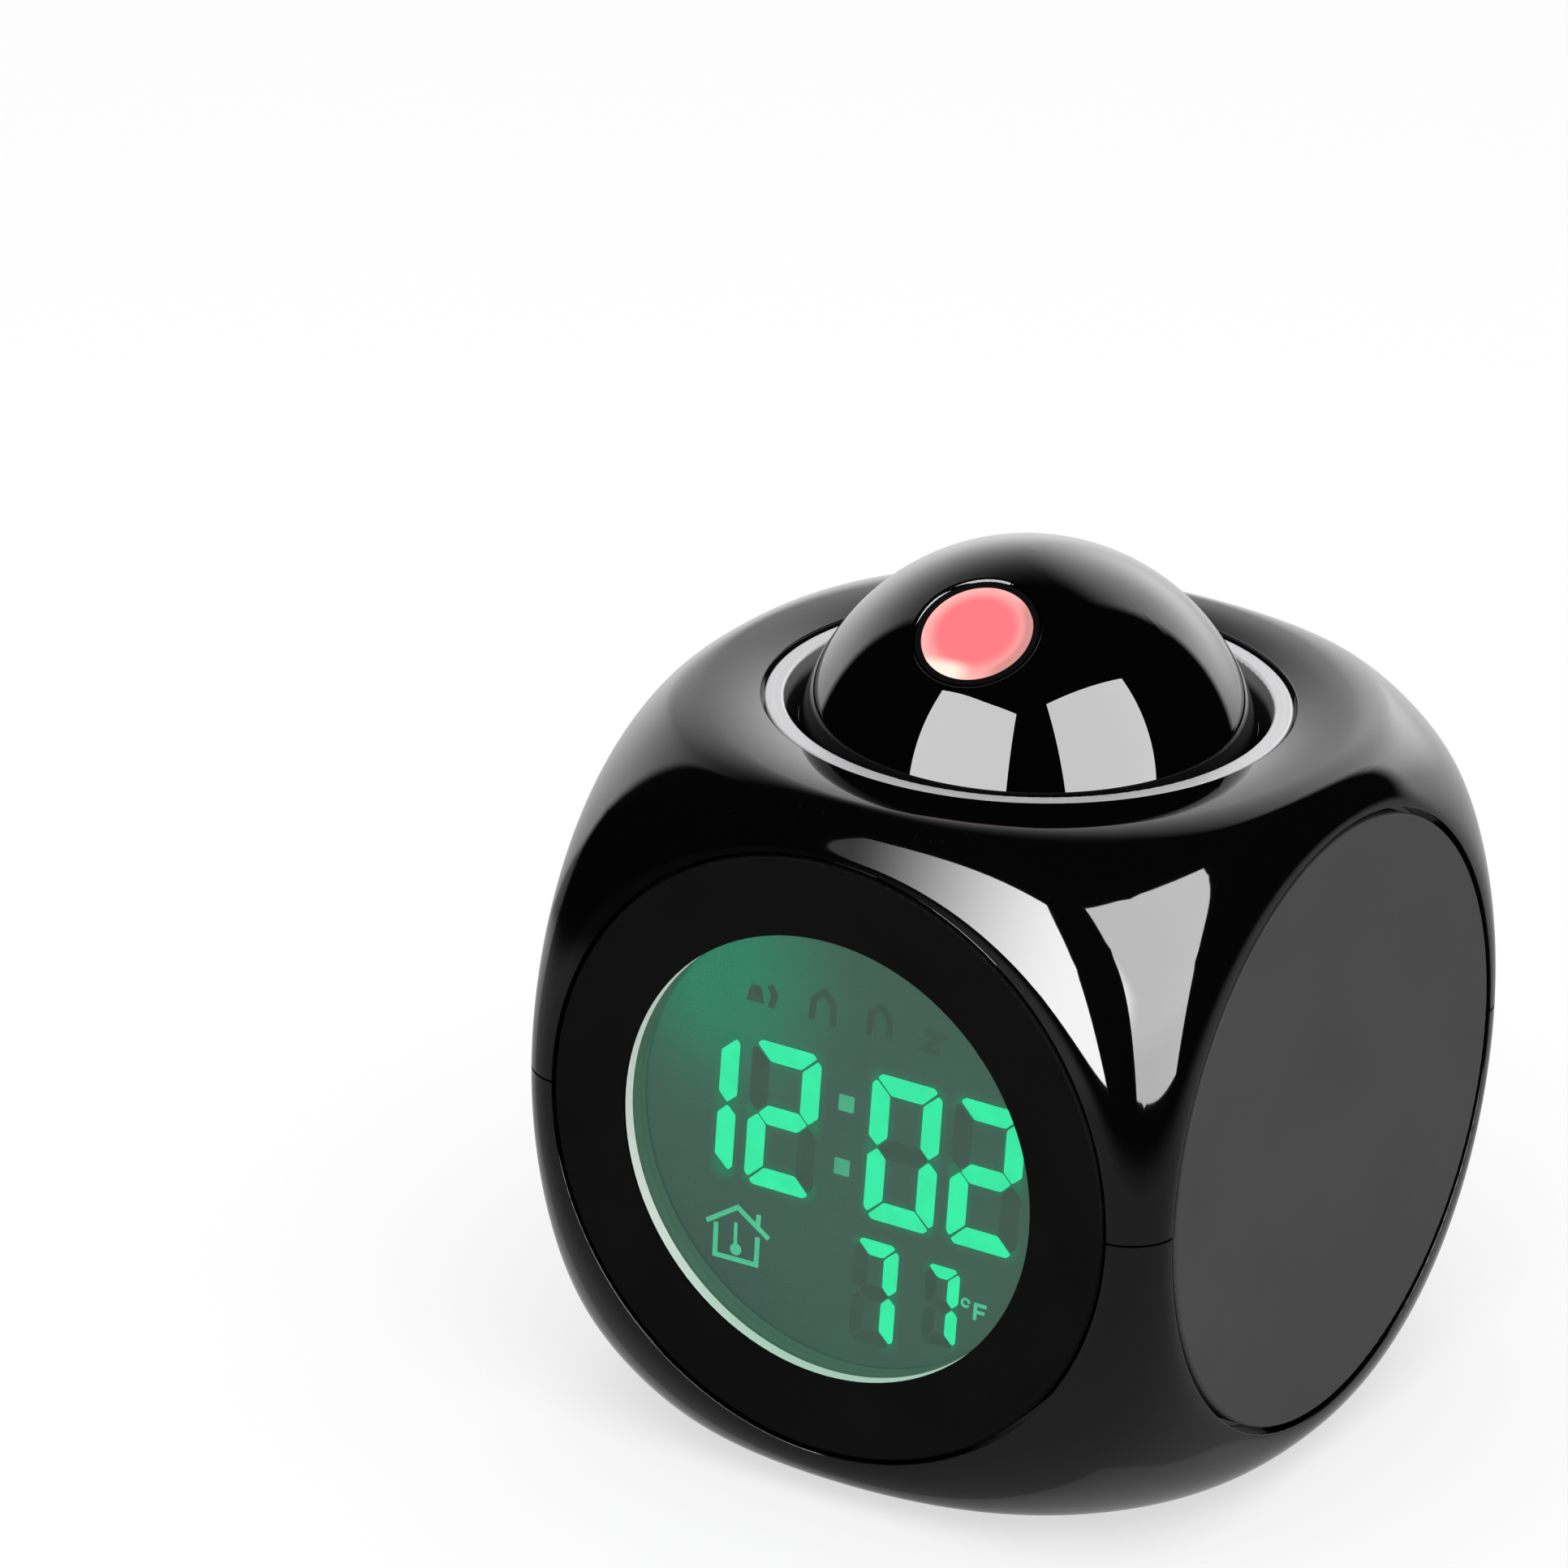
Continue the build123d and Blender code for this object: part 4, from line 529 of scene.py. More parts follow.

# painted highlight: over the window the case mirrors more from the left to the right, up to the corner, which shapes
# the highlight there
highlightLook = {"least": 0.035, "most": 0.89, "plain": 0.5, "across": (1.0 * mm, 30.0 * mm),
             "corner": (35.5 * mm, 33.4 * mm), "front": (-35.0 * mm, -36.2 * mm), "above": (54.0 * mm, 60.0 * mm)}


def addPaintedHighlight(made):
    look, tree = highlightLook, made.node_tree
    x, y, z = splitAxes(tree, tree.nodes["Texture Coordinate"].outputs["Object"])
    growth = addRange(tree, x, *look["across"], look["least"] - look["plain"], look["most"] - look["plain"])
    masks = (addRange(tree, y, *look["front"]), addRange(tree, z, *look["above"]),
             addRange(tree, x, *look["corner"]))
    level = addMath(tree, "ADD", addProduct(tree, growth, *masks), look["plain"])
    feed(tree, tree.nodes["Principled BSDF"], Specular_IOR_Level=level)


addPaintedHighlight(finishes["case"])

boardLook = {"mask": (0.010, 0.085, 0.030, 1), "run": (0.030, 0.16, 0.055, 1), "pad": (0.55, 0.52, 0.44, 1),
             "runs": 260, "runWidth": 0.012, "pads": 420, "padEdge": (0.22, 0.18), "rough": (0.3, 0.38),
             "relief": 0.4}


def makeBoardMaterial():
    # solder mask with copper runs under it and bare pads
    made, tree, shader, place = newMaterial("circuit_board", IOR=finishLook["ior"])
    look, tracks = boardLook, tree.nodes.new("ShaderNodeTexBrick")
    feed(tree, tracks, Vector=place, Scale=look["runs"], Mortar_Size=look["runWidth"])
    dots = addNode(tree, "ShaderNodeTexVoronoi", Vector=place, Scale=look["pads"])
    pads = addRange(tree, dots, *look["padEdge"])
    run = addMix(tree, tracks.outputs["Fac"], look["mask"], look["run"])
    feed(tree, shader, Base_Color=addMix(tree, pads, run, look["pad"]), Metallic=pads,
         Roughness=addRange(tree, pads, 0.0, 1.0, *look["rough"]))
    addBump(tree, shader, tracks.outputs["Fac"], look["relief"], finishLook["satinBump"])
    return made


stripeLook = {"plain": grey(0.02), "conducting": (0.45, 0.25, 0.24, 1), "fine": 1600, "relief": 0.3,
              "rough": 0.7}


def makeStripeMaterial():
    # rubber strip with alternating conducting and plain layers
    made, tree, shader, place = newMaterial("zebra_rubber", Roughness=stripeLook["rough"])
    wave = tree.nodes.new("ShaderNodeTexWave")
    wave.bands_direction = "X"
    feed(tree, wave, Vector=place, Scale=stripeLook["fine"])
    tone = addMix(tree, wave.outputs["Fac"], stripeLook["plain"], stripeLook["conducting"])
    feed(tree, shader, Base_Color=tone)
    addBump(tree, shader, wave.outputs["Fac"], stripeLook["relief"], finishLook["satinBump"])
    return made


cellLook = {"label": (0.05, 0.14, 0.20, 1), "band": (0.62, 0.64, 0.66, 1), "metal": (0.7, 0.7, 0.68, 1),
            "scuff": grey(0.3), "scuffs": 900.0, "scuffed": (0.45, 0.75, 0.0, 0.12), "rough": (0.22, 0.4),
            "bandEnd": (9.5 * mm, 9.7 * mm), "sleeveEnd": (21.4 * mm, 21.5 * mm)}


def makeCellMaterial():
    # plain two-tone sleeve, bare metal ends
    made, tree, shader, place = newMaterial("cell_sleeve", IOR=finishLook["ior"])
    look, reach = cellLook, addMath(tree, "ABSOLUTE", splitAxes(tree, place)[0])
    band, end = addRange(tree, reach, *look["bandEnd"]), addRange(tree, reach, *look["sleeveEnd"])
    scuff = addRange(tree, addNoise(tree, place, look["scuffs"], 4.0), *look["scuffed"])
    sleeve = addMix(tree, scuff, addMix(tree, band, look["band"], look["label"]), look["scuff"])
    feed(tree, shader, Base_Color=addMix(tree, end, sleeve, look["metal"]), Metallic=end,
         Roughness=addRange(tree, scuff, *look["scuffed"][2:], *look["rough"]))
    return made


acrylicLook = {"ior": 1.49, "tint": (0.97, 1.0, 0.98, 1), "white": grey(1), "hazy": 0.02,
               "through": (0.92, 0.95, 0.93, 1), "mirrors": grey(0.4)}


def makeClear(name, clouds, **plain):
    # clear acrylic, here and there a little hazy and tinted
    made, tree, shader, place = newMaterial(name, Transmission_Weight=1.0, IOR=acrylicLook["ior"], **plain)
    haze = addGroup(tree, hazeGroup, place, Low=0.0, High=acrylicLook["hazy"])
    cloud = addRange(tree, addNoise(tree, place, clouds), 0.3, 0.7)
    feed(tree, shader, Base_Color=addMix(tree, cloud, acrylicLook["tint"], acrylicLook["white"]),
         Roughness=haze["Roughness"])
    return made, tree, shader


finishes["board"] = makeBoardMaterial()
finishes["zebra"] = makeStripeMaterial()
finishes["cell"] = makeCellMaterial()
finishes["clear"] = makeClear("clear_acrylic", 60.0)[0]

# the pale lining of the window's hole, with a little painted light as if the display lit it, and greener low down
liningLook = {"pale": (0.62, 0.66, 0.62, 1), "green": (0.36, 0.54, 0.44, 1), "speck": (0.4, 0.42, 0.4, 1),
              "specks": 0.15, "grain": 0.25, "depth": 0.1, "rough": 0.45, "glow": 0.33,
              "paleToGreen": (caseMiddle.z - 12 * mm, caseMiddle.z - 26 * mm)}


def makeLiningMaterial():
    look = liningLook
    made, tree, shader, place = newMaterial("hole_lining", Roughness=look["rough"])
    grain = addGroup(tree, grainGroup, place, Size=look["grain"])
    low = addRange(tree, splitAxes(tree, place)[2], *look["paleToGreen"])
    specks = addProduct(tree, grain["Shade"], look["specks"])
    tone = addMix(tree, specks, addMix(tree, low, look["pale"], look["green"]), look["speck"])
    addLight(tree, shader, tone, look["glow"])
    addBump(tree, shader, grain["Height"], look["depth"], finishLook["polishedBump"])
    return made


tunnelLook = {"colour": (0.031, 0.080, 0.055, 1), "second": (0.036, 0.090, 0.062, 1), "glow": 0.8, "rough": 0.6,
              "ior": 1.2, "grain": 0.25}


def makeTunnelMaterial():
    # the display frame's inner sides, with painted light as if the display lit them
    made, tree, shader, place = newMaterial("display_tunnel", Roughness=tunnelLook["rough"], IOR=tunnelLook["ior"])
    grain = addGroup(tree, grainGroup, place, Size=tunnelLook["grain"])
    tone = addMix(tree, grain["Shade"], tunnelLook["colour"], tunnelLook["second"])
    addLight(tree, shader, tone, tunnelLook["glow"])
    return made


finishes["lining"] = makeLiningMaterial()
finishes["tunnel"] = makeTunnelMaterial()
print("plain finishes ready")


# display: lit strokes as thin plates on the glass, their glow in the glass itself
def srgb(red, green, blue):
    def plain(value):
        value /= 255
        return value / 12.92 if value <= 0.04045 else ((value + 0.055) / 1.055) ** 2.4
    return (plain(red), plain(green), plain(blue), 1)


displayLook = {
    "lit": srgb(36, 232, 162), "dim": srgb(62, 166, 126), "icon": srgb(70, 190, 142), "ghost": srgb(46, 76, 65),
    "field": srgb(50, 87, 73), "green": srgb(24, 124, 94), "grey": srgb(46, 76, 68), "glow": srgb(10, 116, 80),
    "slant": 0.05, "plate": 0.10 * mm, "rounding": 0.25,
}
# each figure's middle from the display's middle, its size and stroke, all in millimetres
timeFigure = {"z": 1.0, "width": 8.7, "height": 17.3, "stroke": 2.25}
figures = [
    {"name": "hour_tens", "lit": "bc", "x": -18.4, **timeFigure},
    {"name": "hour_ones", "lit": "abged", "x": -8.1, **timeFigure},
    {"name": "minute_tens", "lit": "abcdef", "x": 7.05, **timeFigure},
    {"name": "minute_ones", "lit": "abged", "x": 17.4, **timeFigure},
    {"name": "degree_tens", "lit": "abc", "x": 3.9, "z": -16.4, "width": 5.5, "height": 12.4, "stroke": 1.75},
    {"name": "degree_ones", "lit": "abc", "x": 12.3, "z": -15.6, "width": 4.2, "height": 9.5, "stroke": 1.4},
]


def strokeOutlines(figure):
    # the seven strokes of a figure, each as an outline about the figure's middle
    half, high, thick = figure["width"] / 2, figure["height"] / 2, figure["stroke"]
    cut, gap, mid = thick * 0.42, thick * 0.07, thick / 2
    side = [(half - thick, high - thick - gap), (half - cut * 0.5, high - cut * 0.5 - gap * 2),
            (half, high - cut - gap * 2), (half, mid * 0.9 + gap), (half - mid, gap), (half - thick, mid + gap)]
    top = [(-half + cut + gap, high), (half - cut - gap, high), (half - cut * 0.5 - gap, high - cut * 0.5),
           (half - thick - gap, high - thick), (-half + thick + gap, high - thick),
           (-half + cut * 0.5 + gap, high - cut * 0.5)]
    bar = [(-half + mid + gap, 0), (-half + thick + gap, mid), (half - thick - gap, mid), (half - mid - gap, 0),
           (half - thick - gap, -mid), (-half + thick + gap, -mid)]

    def flipped(points, across, rise):
        return [(across * x, rise * z) for x, z in points]
    return {"a": top, "b": side, "c": flipped(side, 1, -1), "d": flipped(top, 1, -1), "e": flipped(side, -1, -1),
            "f": flipped(side, -1, 1), "g": bar}


def onDisplay(figure, x, z, depth=0.0):
    # a point of a figure in metres, leaning with the figure's slant
    z += figure["z"]
    x += figure["x"] + displayLook["slant"] * (z - figure["z"])
    return Vector((x * mm, displayY - depth, caseMiddle.z + z * mm))


# both ends of each stroke's middle line, as shares of how far the lines lie from the figure's middle
strokeEnds = {"a": ((-1, 1), (1, 1)), "b": ((1, 1), (1, 0)), "c": ((1, 0), (1, -1)), "d": ((-1, -1), (1, -1)),
              "e": ((-1, 0), (-1, -1)), "f": ((-1, 0), (-1, 1)), "g": ((-1, 0), (1, 0))}


def roundedOutline(points, radius, steps=4):
    # softens each corner of an outline with a short curve
    rounded = []
    count = len(points)
    for index, corner in enumerate(points):
        here = Vector(corner)
        before, after = Vector(points[index - 1]) - here, Vector(points[(index + 1) % count]) - here
        reach = min(radius, before.length * 0.45, after.length * 0.45)
        first, last = here + before.normalized() * reach, here + after.normalized() * reach
        for step in range(steps + 1):
            share = step / steps
            rounded.append(first * (1 - share) ** 2 + here * 2 * share * (1 - share) + last * share ** 2)
    return rounded


def makePlates(name, figure, outlines, material, radius=displayLook["rounding"]):
    # thin closed plates lying on the glass, one for each outline
    shape = bmesh.new()
    for outline in outlines:
        points = roundedOutline(outline, radius)
        back = [shape.verts.new(onDisplay(figure, x, z)) for x, z in points]
        front = [shape.verts.new(onDisplay(figure, x, z, displayLook["plate"])) for x, z in points]
        shape.faces.new(front)
        shape.faces.new(list(reversed(back)))
        for index in range(len(points)):
            following = (index + 1) % len(points)
            shape.faces.new((back[index], back[following], front[following], front[index]))
    bmesh.ops.recalc_face_normals(shape, faces=shape.faces)
    mesh = bpy.data.meshes.new(name)
    shape.to_mesh(mesh)
    shape.free()
    mesh.materials.append(material)
    piece = newObject(name, mesh)
    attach(piece, "case")


strokeLook = {"rough": 0.5, "ior": 1.08, "clouds": 380.0, "darker": 0.9, "glow": 1.0}


def makeLitMaterial(name, colour, uneven):
    # a lit stroke, a little uneven from end to end
    made, tree, shader, place = newMaterial(name, Roughness=strokeLook["rough"], IOR=strokeLook["ior"])
    cloud = addRange(tree, addNoise(tree, place, strokeLook["clouds"]), 0.3, 0.7)
    darker = tuple(value * (1 - uneven) for value in colour[:3]) + (1,)
    addLight(tree, shader, addMix(tree, cloud, darker, colour), strokeLook["glow"], strokeLook["darker"])
    return made


def stripOutline(points, width):
    # a line of points as an outline of that width, left side out and right side back
    left, right = [], []
    for index, point in enumerate(points):
        here = Vector(point)
        before = Vector(points[max(index - 1, 0)])
        after = Vector(points[min(index + 1, len(points) - 1)])
        into = (here - before).normalized() if index else (after - here).normalized()
        out = (after - here).normalized() if index < len(points) - 1 else into
        bisector = (into + out).normalized()
        across = Vector((-bisector.y, bisector.x)) * (width / 2 / max(0.4, bisector.dot(into)))
        left.append(tuple(here + across))
        right.append(tuple(here - across))
    return left + right[::-1]


def ringOutline(x, z, radius, steps=14):
    return [(x + radius * cos(2 * pi * step / steps), z + radius * sin(2 * pi * step / steps))
            for step in range(steps)]


fieldLook = {"rough": 0.35, "ior": 1.08, "glow": 0.9, "darker": 0.85, "corner": (-17 * mm, 17 * mm),
             "cornerReach": (20 * mm, 2 * mm), "low": (-2 * mm, -26 * mm), "left": (4 * mm, -24 * mm),
             "clouds": 90.0, "cloud": (0.03, 0.05, 0.045, 1), "clouded": (0.35, 0.7, 0.0, 0.12),
             "haloWidth": 0.95, "haloShare": 0.75}


def makeFieldMaterial():
    # the display's own face: greenish grey, greener top left, bluer bottom left, with a painted glow round the
    # strokes
    look = fieldLook
    made, tree, shader, place = newMaterial("display_field", Roughness=look["rough"], IOR=look["ior"])
    x, z = splitAxes(tree, place)[::2]
    corner = (look["corner"][0], displayY, caseMiddle.z + look["corner"][1])
    green = addRange(tree, addVector(tree, "DISTANCE", place, corner), *look["cornerReach"])
    low = addRange(tree, z, *(caseMiddle.z + height for height in look["low"]))
    left = addRange(tree, x, *look["left"])
    shade = addMix(tree, addProduct(tree, low, left), displayLook["field"], displayLook["grey"])
    shade = addMix(tree, green, shade, displayLook["green"])
    cloud = addRange(tree, addNoise(tree, place, look["clouds"], 3.0), *look["clouded"])
    shade = addMix(tree, cloud, shade, look["cloud"])
    glow = None
    for figure in figures:
        half, high = ((figure[size] - figure["stroke"]) / 2 for size in ("width", "height"))
        reach = figure["stroke"] * look["haloWidth"] * mm
        for stroke in figure["lit"]:
            start, end = (onDisplay(figure, x * half, z * high) for x, z in strokeEnds[stroke])
            near = addGroup(tree, glowGroup, place, Start=start, End=end, Reach=reach)
            glow = near["Mask"] if glow is None else addMath(tree, "MAXIMUM", glow, near["Mask"])
    halo = addProduct(tree, glow, look["haloShare"])
    addLight(tree, shader, addMix(tree, halo, shade, displayLook["glow"]), look["glow"], look["darker"])
    return made


finishes["field"] = makeFieldMaterial()
litMaterial, dimMaterial, iconMaterial, ghostMaterial = (
    makeLitMaterial(name + "_stroke", displayLook[name], uneven)
    for name, uneven in (("lit", 0.08), ("dim", 0.15), ("icon", 0.10), ("ghost", 0.10)))
wholeDisplay = {"x": 0.0, "z": 0.0}

for figure in figures:
    outlines = strokeOutlines(figure)
    lit = [outlines[stroke] for stroke in figure["lit"]]
    makePlates("display_" + figure["name"], figure, lit, litMaterial)
    if figure["name"] != "hour_tens":
        unlit = [outlines[stroke] for stroke in "abcdefg" if stroke not in figure["lit"]]
        if unlit:
            makePlates("display_unlit_" + figure["name"], figure, unlit, ghostMaterial)

# the two dots between the hours and the minutes
colon = {"x": -0.4, "size": 1.9, "heights": (5.0, -2.6)}
colonDots = [[(colon["x"] + side * colon["size"] / 2, height + end * colon["size"] / 2)
              for side, end in ((-1, -1), (1, -1), (1, 1), (-1, 1))] for height in colon["heights"]]
makePlates("display_colon", wholeDisplay, colonDots, dimMaterial, 0.2)

# a house with a thermometer in it: the room temperature's mark
houseMark = {"line": 0.55, "thermometer": 0.385, "bulb": (-12.9, -16.1, 0.7)}
houseLines = [
    [(-16.8, -13.6), (-13.0, -11.0), (-8.85, -13.7)], [(-10.3, -12.5), (-10.3, -11.2)],
    [(-15.6, -13.5), (-15.5, -17.35), (-10.2, -17.25), (-10.25, -13.9)],
]
houseStrips = [stripOutline(line, houseMark["line"]) for line in houseLines]
houseStrips += [stripOutline([(-13.1, -12.9), (-13.0, -15.6)], houseMark["thermometer"]),
                ringOutline(*houseMark["bulb"])]
makePlates("display_house", wholeDisplay, houseStrips, iconMaterial, 0.1)

# the degree sign and its letter
degreeRing = {"x": 16.1, "z": -14.3, "radius": 0.45, "line": 0.28, "letter": 0.38, "letterBar": 0.36}
degreeArc = [(degreeRing["x"] + degreeRing["radius"] * cos(radians(turn)),
              degreeRing["z"] + degreeRing["radius"] * sin(radians(turn))) for turn in range(0, 350, 25)]
degreeMarks = [
    stripOutline(degreeArc, degreeRing["line"]),
    stripOutline([(18.7, -14.15), (17.35, -14.15), (17.35, -16.0)], degreeRing["letter"]),
    stripOutline([(17.5, -15.0), (18.5, -15.0)], degreeRing["letterBar"]),
]
makePlates("display_degree_mark", wholeDisplay, degreeMarks, iconMaterial, 0.05)

# the display's unlit marks along its top
markLine = 0.8
bellPlace = (-12.6, 14.9)
bellSide = [(1.2, -1.0), (0.9, -0.4), (0.8, 0.4), (0.4, 1.0)]
bellShape = [(-1.2, -1.0), *bellSide, *((-across, rise) for across, rise in bellSide[:0:-1])]
markLines = [
    [(-10.9, 16.3), (-10.2, 15.2), (-10.6, 13.7)],
    [(-5.5, 13.7), (-5.3, 16.2), (-4.1, 17.3), (-2.9, 16.2), (-2.7, 13.7)],
    [(1.7, 13.7), (1.9, 16.4), (3.0, 17.4), (4.1, 16.4), (4.3, 14.0)],
    [(8.6, 15.8), (10.6, 15.8), (8.6, 14.0), (10.6, 14.0)],
]
ghostMarks = [[(bellPlace[0] + across, bellPlace[1] + rise) for across, rise in bellShape]]
ghostMarks += [stripOutline(line, markLine) for line in markLines]
makePlates("display_unlit_marks", wholeDisplay, ghostMarks, ghostMaterial, 0.1)
print("display ready")


# the clear window and the lens
def makeWindowMaterial():
    # it mirrors less than plain acrylic, and lets the room's light through to what lies behind it
    made, tree, shader = makeClear("window_acrylic", 40.0, Roughness=0.0, Specular_Tint=acrylicLook["mirrors"])
    ray = tree.nodes.new("ShaderNodeLightPath").outputs
    shadowed = addMath(tree, "MAXIMUM", ray["Is Shadow Ray"], ray["Is Diffuse Ray"])
    through = addNode(tree, "ShaderNodeBsdfTransparent", Color=acrylicLook["through"])
    feed(tree, tree.nodes["Material Output"], Surface=mixShaders(tree, shadowed, shader.outputs[0], through))
    return made


lensLow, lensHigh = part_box("projection_lens")
lensMiddle = (lensLow + lensHigh) / 2
lensAxis = (lensMiddle - domeMiddle).normalized()
lensLook = {"rose": srgb(250, 122, 128), "rim": srgb(252, 176, 172), "pale": srgb(255, 236, 220),
            "brown": srgb(150, 96, 92), "radius": 6.15 * mm, "rimReach": (0.62, 0.98),
            "paleRise": (-0.62, -0.86), "paleAcross": (0.35, -0.1), "brownReach": (0.78, 0.92),
            "brownAcross": (0.35, 0.75), "brownShare": 0.5, "rough": 0.05, "glow": 1.0, "darker": 0.9}


def makeLensMaterial():
    # a moulded lens filled with the lamp's red light, painted on as a glow: paler towards its rim, nearly white at
    # the foot, with a painted brown shade towards one side
    look = lensLook
    made, tree, shader, place = newMaterial("projector_lens", Roughness=look["rough"], IOR=acrylicLook["ior"])
    side = Vector((0, 0, 1)).cross(lensAxis).normalized()
    up = lensAxis.cross(side)
    offset = addVector(tree, "SUBTRACT", place, lensMiddle)
    across = addMath(tree, "DIVIDE", addVector(tree, "DOT_PRODUCT", offset, side), look["radius"])
    rise = addMath(tree, "DIVIDE", addVector(tree, "DOT_PRODUCT", offset, up), look["radius"])
    reach = addReach(tree, across, rise)
    tone = addMix(tree, addRange(tree, reach, *look["rimReach"]), look["rose"], look["rim"])
    foot = addProduct(tree, addRange(tree, rise, *look["paleRise"]), addRange(tree, across, *look["paleAcross"]))
    tone = addMix(tree, foot, tone, look["pale"])
    shade = addProduct(tree, addRange(tree, reach, *look["brownReach"]),
                       addRange(tree, across, *look["brownAcross"]), look["brownShare"])
    tone = addMix(tree, shade, tone, look["brown"])
    addLight(tree, shader, tone, look["glow"], look["darker"])
    return made


finishes["window"] = makeWindowMaterial()
finishes["lens"] = makeLensMaterial()


# which finish each solid takes
finishOf = {
    "case": ("upper_shell", "lower_shell", "battery_door"),
    "dome": ("dome_cap", "dome_base"),
    "bezel": ("front_bezel", "lens_barrel"),
    "disc": ("left_side_plate", "right_side_plate", "rear_panel"),
    "key": ("mode_key", "hour_key", "minute_key", "alarm_key", "projection_switch_knob"),
    "feet": ("rubber_feet",),
    "tunnel": ("lcd_frame",),
    "inner": ("dome_carrier", "dome_bracket", "talk_switch", "projection_switch_body"),
    "white": ("backlight_panel", "pivot_washer"),
    "ring": ("trim_ring",),
    "steel": ("display_screws", "key_board_screws", "pivot_screw", "bracket_screws", "case_screws",
              "return_spring", "speaker_basket"),
    "nickel": ("battery_plates", "battery_springs", "key_switches"),
    "board": ("clock_board", "key_board", "projector_board"),
    "epoxy": ("board_components", "temperature_sensor"),
    "zebra": ("zebra_connector",),
    "cell": ("aaa_cells",),
    "paper": ("speaker_cone",),
    "ferrite": ("speaker_magnet",),
    "wire": ("battery_leads", "speaker_leads"),
    "cable": ("board_cable", "projector_lead"),
    "lamp": ("projector_led",),
    "film": ("projector_film",),
    "clear": ("condenser_lens",),
    "window": ("display_window",),
    "lens": ("projection_lens",),
    "lining": ("display_surround",),
    "field": ("lcd_glass",),
}
for finish, names in finishOf.items():
    for name in names:
        for place in nodes[name].material_slots:
            place.material = finishes[finish]
print("finishes given to", sum(len(names) for names in finishOf.values()), "of", len(nodes), "nodes")


# the case's two half shells: each keeps its inner side and takes a polished outer skin
# the skin's discs and rounding, how far its corners are drawn in, and the shell's place under it, in millimetres
skinLook = {"half": 40.0, "disc": 35.0, "rounding": 5.0, "corner": 0.033, "cornerMore": 0.014, "crown": -0.432,
            "crownMore": 0.489, "edge": 0.674, "sideHole": 34.87, "topHole": 29.07, "ease": 0.09, "wall": 0.5,
            "seam": 0.13, "seamBand": 0.6, "lip": 1.2, "under": 0.05, "weld": 0.004, "steps": 32, "turns": 40}


def skinReach(way):
    # how far the skin reaches along each direction
    look = skinLook
    x, y, z = (numpy.abs(way[:, axis]) for axis in range(3))
    length = numpy.sqrt(x * x + y * y + z * z)
    pairs = x * y + y * z + z * x + numpy.sqrt((x * y) ** 2 + (y * z) ** 2 + (z * x) ** 2) + 1e-12
    corner = sqrt(27) * x * y * z / length ** 3
    crown = (z / length) ** 2 - 1 / 3
    share = 1 + corner * (look["corner"] + look["cornerMore"] * corner
                          + crown * (look["crown"] + look["crownMore"] * corner))
    drawn = x + y + z - 2 * x * y * z / pairs * share
    flatter = ((x * y) ** 2 + (y * z) ** 2 + (z * x) ** 2) / length ** 3
    return look["disc"] * drawn + look["rounding"] * length - look["edge"] * flatter


def skinPoints(way):
    # the skin's point that faces each direction is the slope of its reach there
    step = 1e-5
    way = way / numpy.linalg.norm(way, axis=1, keepdims=True)
    slopes = []
    for axis in range(3):
        nudge = numpy.zeros(3)
        nudge[axis] = step
        slopes.append((skinReach(way + nudge) - skinReach(way - nudge)) / (2 * step))
    return numpy.stack(slopes, axis=1)


def skinSector(main, hole, signs):
    # rows of points from the hole in one flat, over its edge, to where the next flat's rows begin
    look = skinLook
    turns = look["turns"]
    first, second = [axis for axis in range(3) if axis != main]
    turn = numpy.linspace(0, pi / 2, turns + 1)
    ease, half = look["ease"], look["half"]
    rows = []
    for reach, level in ((hole, half - look["wall"]), (hole, half - ease), (hole + ease * 0.3, half - ease * 0.3),
                         (hole + ease, half), (look["disc"] - 0.001, half)):
        row = numpy.zeros((turns + 1, 3))
        row[:, main], row[:, first], row[:, second] = level, reach * numpy.cos(turn), reach * numpy.sin(turn)
        rows.append(row)
    for lean in numpy.tan(numpy.linspace(0.02, pi / 4, look["steps"])):
        way = numpy.zeros((turns + 1, 3))
        widest = numpy.maximum(numpy.cos(turn), numpy.sin(turn))
        way[:, main] = 1
        way[:, first] = lean * numpy.cos(turn) / widest + 1e-7
        way[:, second] = lean * numpy.sin(turn) / widest + 1e-7
        rows.append(skinPoints(way))
    return [row * signs for row in rows]


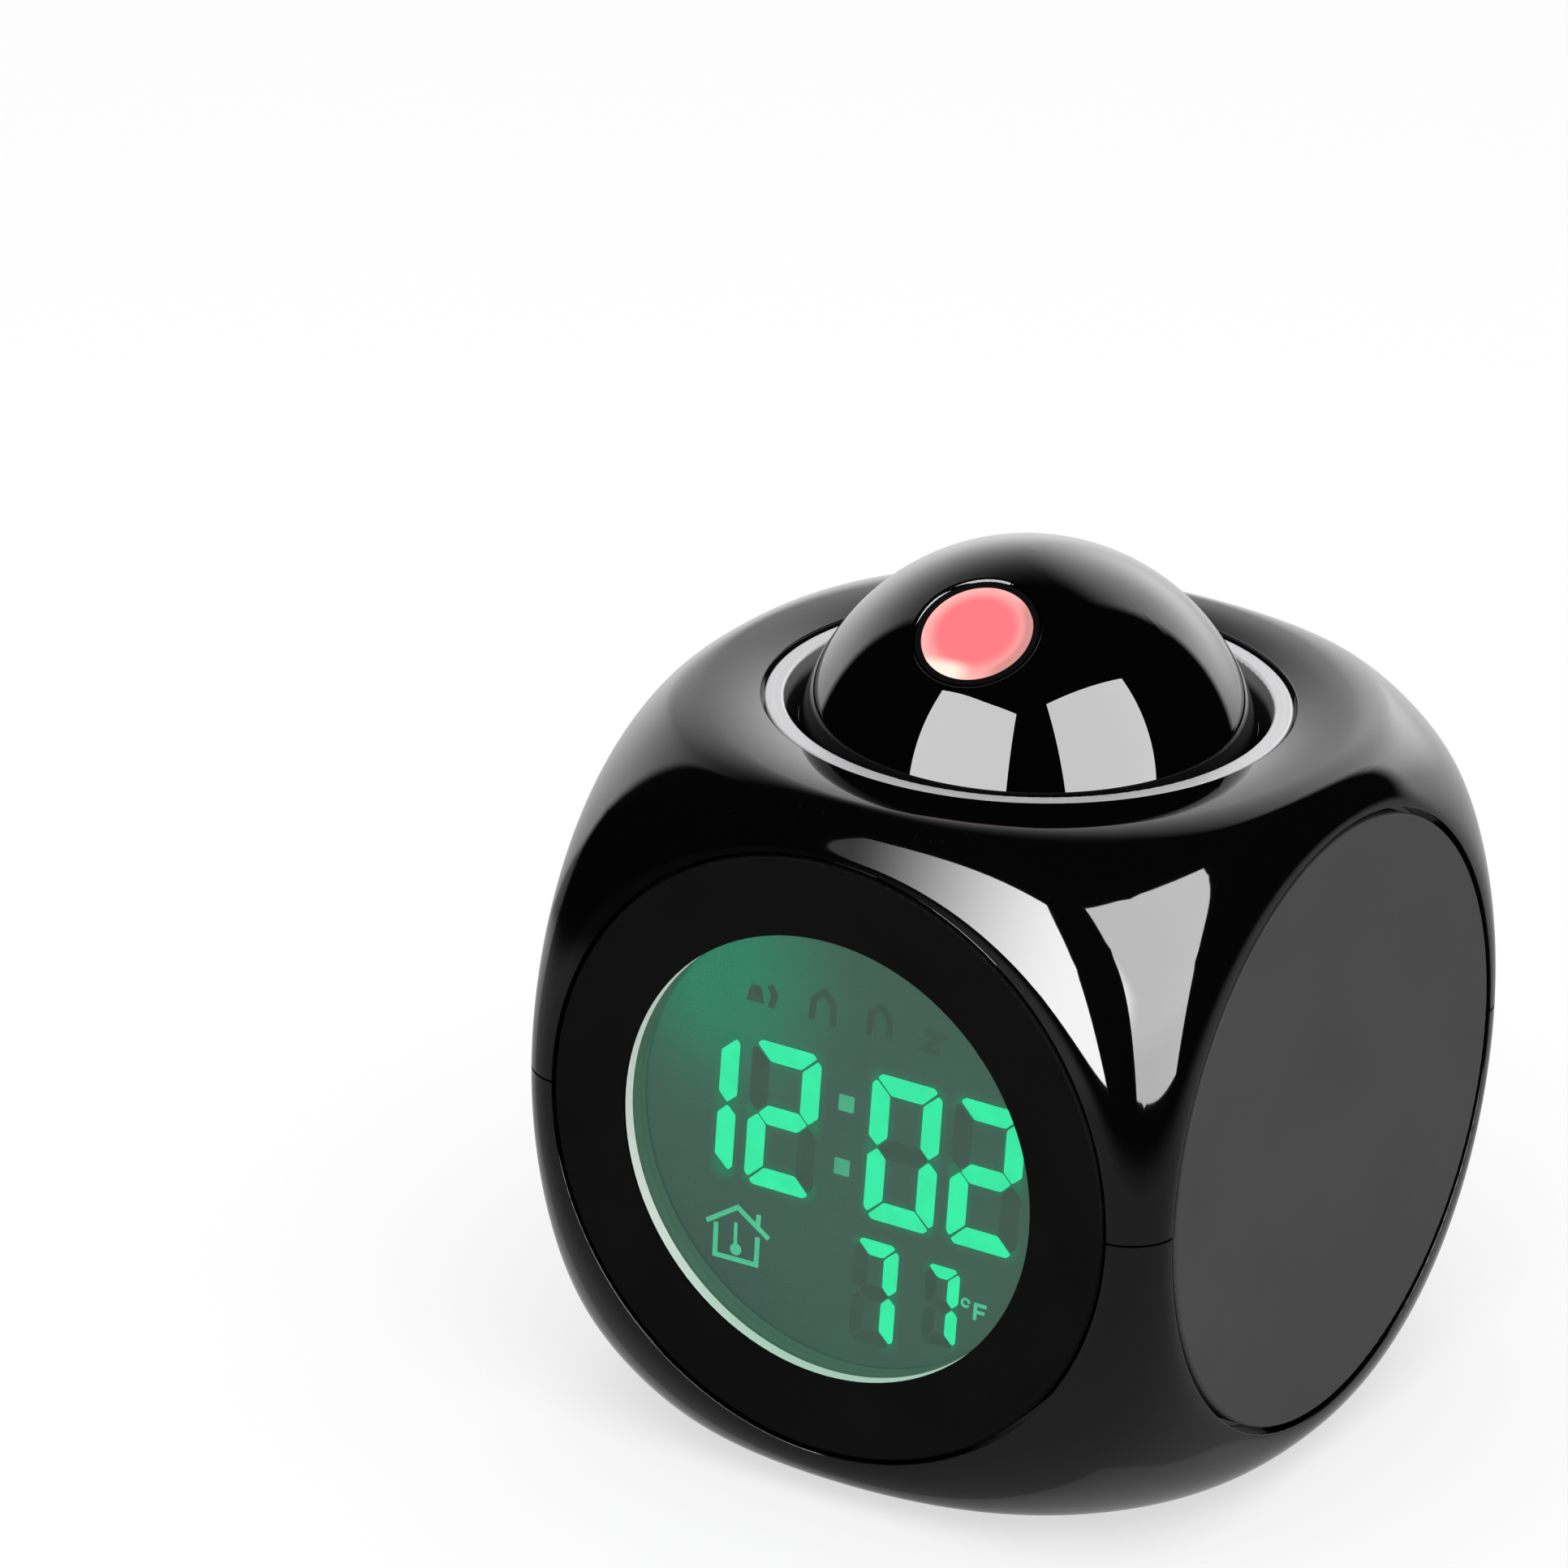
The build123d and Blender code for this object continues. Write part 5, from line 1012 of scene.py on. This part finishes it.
def skinShape(upward):
    look = skinLook
    shape = bmesh.new()
    for main in range(3):
        hole = look["topHole"] if main == 2 and upward > 0 else look["sideHole"]
        for signs in ((a, b, upward) for a in (-1, 1) for b in (-1, 1)):
            rows = [[shape.verts.new(point) for point in row] for row in skinSector(main, hole, numpy.array(signs))]
            for inner, outer in zip(rows, rows[1:]):
                for place in range(look["turns"]):
                    shape.faces.new((inner[place], inner[place + 1], outer[place + 1], outer[place]))
    bmesh.ops.remove_doubles(shape, verts=shape.verts, dist=look["weld"])
    seam = look["seam"]
    for corner in shape.verts:
        if abs(corner.co.z) < seam:
            corner.co.z = seam * upward
    rim = [edge for edge in shape.edges
           if edge.is_boundary and all(abs(end.co.z) < seam + 0.001 for end in edge.verts)]
    for corner in bmesh.ops.extrude_edge_only(shape, edges=rim)["geom"]:
        if isinstance(corner, bmesh.types.BMVert):
            flat = hypot(corner.co.x, corner.co.y)
            corner.co.x *= 1 - look["lip"] / flat
            corner.co.y *= 1 - look["lip"] / flat
    for edge in rim:
        edge.smooth = False
    bmesh.ops.recalc_face_normals(shape, faces=shape.faces)
    for face in shape.faces:
        face.smooth = True
    return shape


def makeShell(node, upward):
    # the shell from the node's own shape, drawn in just under the skin, with the skin over it
    look = skinLook
    name = "dressed_" + node
    skin = skinShape(upward)
    cover = BVHTree.FromBMesh(skin)
    shell = bmesh.new()
    shell.from_mesh(nodes[node].data)
    for corner in shell.verts:
        place = (corner.co - caseMiddle) / mm
        way = place.normalized()
        hit = cover.ray_cast(Vector((0, 0, 0)), way)[3]
        under = look["under"] if abs(place.z) > look["seamBand"] else look["lip"] * 0.8
        if hit is not None and place.length > hit - under:
            corner.co = caseMiddle + way * (hit - under) * mm
    bmesh.ops.scale(skin, vec=(mm, mm, mm), verts=skin.verts)
    bmesh.ops.translate(skin, vec=caseMiddle, verts=skin.verts)
    skinMesh = bpy.data.meshes.new(name + "_skin")
    skin.to_mesh(skinMesh)
    skin.free()
    shell.from_mesh(skinMesh)
    bpy.data.meshes.remove(skinMesh)
    mesh = bpy.data.meshes.new(name)
    shell.to_mesh(mesh)
    shell.free()
    mesh.materials.clear()
    mesh.materials.append(finishes["case"])
    for face in mesh.polygons:
        face.material_index = 0
    piece = newObject(name, mesh)
    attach(piece, "case")
    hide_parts(node)


makeShell("upper_shell", 1)
makeShell("lower_shell", -1)
print("case shells ready")


def makeSpring():
    spring = newObject("pressed_return_spring", nodes["return_spring"].data.copy())
    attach(spring, "case")
    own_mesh(spring)
    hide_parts("return_spring")


makeSpring()
print("spring ready")
